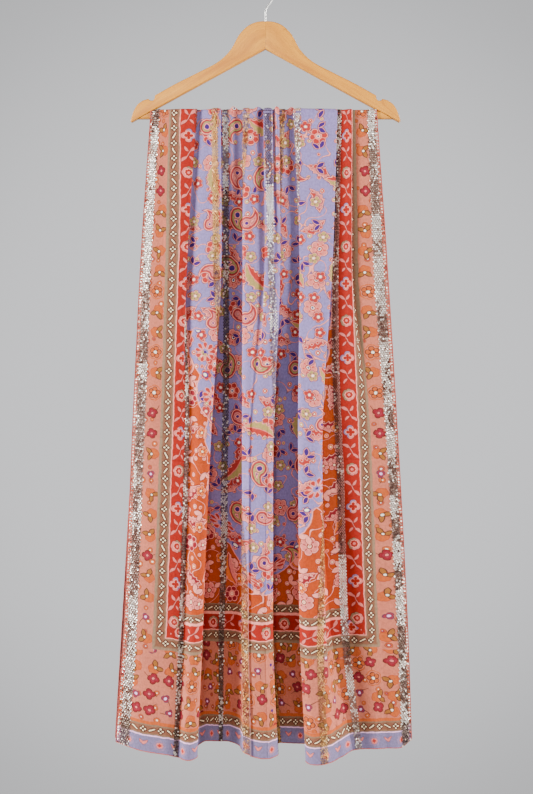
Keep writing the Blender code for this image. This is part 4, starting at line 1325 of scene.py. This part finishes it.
def row_sampler(stretch):
    """A function that gives places and normals at flat places of a stretch's rows, in row steps."""
    points, normals, flats = stretch.points, stretch.normals, stretch.flats
    rows = len(flats)

    def sample(flat, at):
        low = np.clip(np.floor(at).astype(int), 0, rows - 2)
        share = (at - low)[:, None]
        place = np.empty((len(at), 3))
        way = np.empty((len(at), 3))
        for row in np.unique(low):
            here = low == row
            for out, grid in ((place, points), (way, normals)):
                a, b = (np.column_stack([np.interp(flat[here], flats[r], grid[r, :, k]) for k in range(3)])
                        for r in (row, row + 1))
                out[here] = a * (1 - share[here]) + b * share[here]
        return place, way / np.linalg.norm(way, axis=1)[:, None]
    return sample


def disc_centres(low, high, disc, first, last):
    """One row's discs in a staggered net: flat places, lengths, group and clump for the painted light,
    sizes.
    """
    across = round((high - low) / disc.pitch)
    pitch = (high - low) / max(across, 1)
    step = disc.pitch * (0.88 if across else 1.25)
    discs = []
    for i, v in enumerate(np.arange(first, last, step)):
        odd = i % 2 if across else 0
        for j in range(across + 1 - odd):
            flat = low + (j + 0.5 * odd) * pitch
            group = noise.noise(Vector((flat / GROUP_WIDTH, v / GROUP_LENGTH, low))) * disc.contrast
            clump = noise.noise(Vector((flat / CLUMP, v / CLUMP, low + 40)))
            discs.append((flat, v, group, clump, disc.radius, disc.hole))
    return discs


def disc_points(middle, facing, side, hole, radius):
    """The shallow cups: the points round each disc's hole and then round its rim."""
    other = np.cross(facing, side)
    rounds = []
    for reach, rise in ((hole, -DISC_CUP / 2), (radius, DISC_CUP / 2)):
        for a in np.linspace(0, math.tau, DISC_CORNERS, endpoint=False):
            out = (math.cos(a) * side + math.sin(a) * other) * reach[:, None]
            rounds.append(middle + MM * (out + rise * facing))
    return np.stack(rounds, axis=1).reshape(-1, 3)


def disc_faces(count):
    inner = np.arange(DISC_CORNERS)
    following = np.roll(inner, -1)
    quads = np.stack([inner, inner + DISC_CORNERS, following + DISC_CORNERS, following], axis=1)
    return (np.arange(count)[:, None, None] * 2 * DISC_CORNERS + quads[None]).reshape(-1, 4).tolist()


def painted_disc_light(draw, flat, along, group, clump):
    """The light painted on each disc, 0 to 1: painted shade and painted highlights in clumps, and the
    glints.
    """
    count = len(flat)
    drop = FRONT_LENGTH - along
    glint = sum(g.tone * (abs(flat - g.flat) < GLINT_REACH) * (drop > g.start) * (drop < g.end)
                for g in GLINTS)
    chance = draw.uniform(0, 1, count) * 0.8 + 0.1 + clump * CLUMP_PULL
    shaded_share = np.clip(SHADED_DISC_SHARE - group - glint * GLINT_COUNT, *SHADED_SHARE_LIMITS)
    dark, bright = draw.uniform(*PAINTED_SHADE_RANGE, count), draw.uniform(*PAINTED_HIGHLIGHT_RANGE, count)
    return np.clip(np.where(chance < shaded_share, dark, bright) + glint * GLINT_TONE, 0, 1)


def sequin_piece(kind, stretch, rows, sample, mat, seed):
    """The discs of several rows along a stretch, each sewn nearly flat."""
    draw = np.random.default_rng(seed)
    ends = stretch.lengths[0], stretch.lengths[-1]
    first, last = min(ends) + END_CLEAR, max(ends) - END_CLEAR
    discs = [disc for row in rows for disc in disc_centres(*row, first, last)]
    flat, along, group, clump, radius, hole = np.array(discs).T
    count = len(flat)
    flat = flat + draw.normal(0, SLIP, count)
    along = along + draw.normal(0, SLIP, count)
    at = np.interp(along, stretch.lengths, np.arange(len(stretch.lengths)))
    place, normal = sample(np.clip(flat, 0.2, CLOTH_WIDTH - 0.2), at)
    facing = normal + draw.normal(0, TILT, (count, 3))
    facing /= np.linalg.norm(facing, axis=1)[:, None]
    side = np.cross(facing, np.array((0.0, 0.0, 1.0)) + draw.normal(0, TWIST, (count, 3)))
    side /= np.linalg.norm(side, axis=1)[:, None]
    stand = (CLOTH_THICKNESS / 2 + draw.uniform(*STAND, count)) * MM
    verts = disc_points(place + normal * stand[:, None], facing, side, hole, radius)
    obj = add_mesh(f"{kind}_sequins_{stretch.name}", verts, disc_faces(count), [mat], smooth=False)
    per_disc = 2 * DISC_CORNERS
    # Painted light: each disc's painted highlight or shade, kept on its points for the foil.
    tone = np.repeat(painted_disc_light(draw, flat, along, group, clump), per_disc)
    attribute = obj.data.attributes.new("tone", "FLOAT", "POINT")
    attribute.data.foreach_set("value", tone.astype(np.float32))
    uv = np.column_stack([flat / CLOTH_WIDTH, along / CLOTH_LENGTH])
    set_uv(obj.data, "OFBake", np.repeat(uv, per_disc, axis=0))
    ride_as(obj, None)


def edge_piece(name, path, mat):
    """The overlocked edge of one stretch: a soft cord of thread along an edge of the cloth."""
    count = len(path)
    radii = [OVERLOCK_RADIUS * MM * (0.95 + STITCH_SWELL * math.sin(i * STITCH_TURN))
             for i in range(count)]
    obj = tube(name, path, radii, OVERLOCK_SIDES, mat, "flat")
    round_it = np.arange(OVERLOCK_SIDES) / OVERLOCK_SIDES
    uv = np.column_stack([np.repeat(np.arange(count) / count, OVERLOCK_SIDES), np.tile(round_it, count)])
    set_uv(obj.data, "OFBake", uv)
    ride_as(obj, None)


# ---------------------------------------------------------------- stage and light
FLOOR_HEIGHT = -1.9
FLOOR_RADIUS = 1.2
STUDIO_GLOW = (0.900, 0.902, 0.930, 1)  # the middle of the pool of light behind the object
STUDIO_GREY = (0.600, 0.601, 0.617, 1)
STUDIO_DIM = (0.243, 0.245, 0.240, 1)  # the studio in front of the object
# Where each grey starts and is full, from the sides (0) to straight behind the object (1).
STUDIO_STEPS = [(0.1, 0.85, STUDIO_GREY), (0.945, 0.992, STUDIO_GLOW)]


def make_floor():
    bm = bmesh.new()
    bmesh.ops.create_circle(bm, cap_ends=True, segments=96, radius=FLOOR_RADIUS)
    mesh = bpy.data.meshes.new("floor")
    bm.to_mesh(mesh)
    bm.free()
    floor = bpy.data.objects.new("floor", mesh)
    floor.location.z = FLOOR_HEIGHT
    bpy.context.scene.collection.objects.link(floor)
    paint = Paint("pale_floor")
    mesh.materials.append(paint.set(Base_Color=FLOOR_GREY, Roughness=0.8))


def make_studio():
    """The grey room: dim in front, paler behind, with a pool of light on the wall behind the object."""
    world = bpy.data.worlds.new("studio")
    bpy.context.scene.world = world
    world.use_nodes = True
    nodes, links = world.node_tree.nodes, world.node_tree.links
    way = nodes.new("ShaderNodeTexCoord")
    parts = nodes.new("ShaderNodeSeparateXYZ")
    links.new(way.outputs["Generated"], parts.inputs[0])
    below = None
    for start, end, grey in STUDIO_STEPS:
        share = nodes.new("ShaderNodeMapRange")
        share.interpolation_type = "SMOOTHSTEP"
        share.inputs["From Min"].default_value = start
        share.inputs["From Max"].default_value = end
        links.new(parts.outputs["Y"], share.inputs["Value"])
        mix = nodes.new("ShaderNodeMix")
        mix.data_type = "RGBA"
        mix.inputs[6].default_value = STUDIO_DIM
        mix.inputs[7].default_value = grey
        links.new(share.outputs["Result"], mix.inputs[0])
        if below:
            links.new(below, mix.inputs[6])
        below = mix.outputs[2]
    links.new(below, nodes["Background"].inputs["Color"])


Light = namedtuple("Light", "name place aim size power")
LIGHTS = [
    Light("key", (-2.75, -1.0, 0.0), (0, 0, -0.75), 0.9, 262),
    Light("fill", (2.75, -1.0, -0.1), (0, 0, -0.75), 0.9, 222),
    Light("sparkle", (-0.55, -2.7, 0.3), (0, 0, -0.75), 0.25, 17),
    Light("rim", (0.9, 2.4, 0.6), (0, 0, -0.6), 1.6, 40),
]


def make_lights():
    for light in LIGHTS:
        data = bpy.data.lights.new(light.name, "AREA")
        data.shape = "DISK"
        data.size = light.size
        data.energy = light.power
        lamp = bpy.data.objects.new(light.name, data)
        lamp.location = light.place
        way = Vector(light.aim) - Vector(light.place)
        lamp.rotation_euler = way.to_track_quat("-Z", "Y").to_euler()
        bpy.context.scene.collection.objects.link(lamp)


# ---------------------------------------------------------------- putting it together
def make_cloth():
    right_side = cloth_material("printed_right_side")
    wrong_side = wrong_side_of(right_side, "printed_wrong_side", 0.42)
    silver, gold = metal_foil(SILVER), metal_foil(GOLD)
    thread = thread_material()
    points, flats, lengths = whole_cloth()
    normals = grid_normals(points)
    silver_rows, gold_rows = ([(p - ROW_HALF, p + ROW_HALF, ROW_DISC) for p in ROW_PLACES[first::2]]
                              for first in (0, 1))
    for low, high in (EDGE_BAND, (EDGE_LINE, EDGE_LINE)):
        silver_rows += [(low, high, EDGE_DISC), (CLOTH_WIDTH - high, CLOTH_WIDTH - low, EDGE_DISC)]
    bar_start, bar_end = FRONT_ROWS - 1, FRONT_ROWS + BAR_ROWS - 2
    for number, (name, rows, flat_length, held) in enumerate((
            ("front", slice(0, bar_start + 1), FRONT_LENGTH, "hung"),
            ("over_bar", slice(bar_start, bar_end + 1), OVER_BAR, "gathered"),
            ("back", slice(bar_end, None), BACK_LENGTH, "hung"))):
        stretch = Stretch(name, points[rows], normals[rows], flats[rows], lengths[rows], flat_length, held)
        cloth_piece(stretch, right_side, wrong_side)
        sample = row_sampler(stretch)
        sequin_piece("silver", stretch, silver_rows, sample, silver, 10 + number)
        sequin_piece("gold", stretch, gold_rows, sample, gold, 20 + number)
        edge_piece(f"edge_left_{name}", stretch.points[:, 0], thread)
        edge_piece(f"edge_right_{name}", stretch.points[:, -1], thread)
    edge_piece("edge_hem_front", points[0], thread)
    edge_piece("edge_hem_back", points[-1], thread)


def main():
    make_camera()
    make_floor()
    make_studio()
    make_lights()
    wood = wood_material()
    make_arm("arm_left", "hanger_arm_left", -1, wood)
    make_arm("arm_right", "hanger_arm_right", 1, wood)
    make_bar(wood)
    make_hook(steel_material())
    make_cloth()


main()
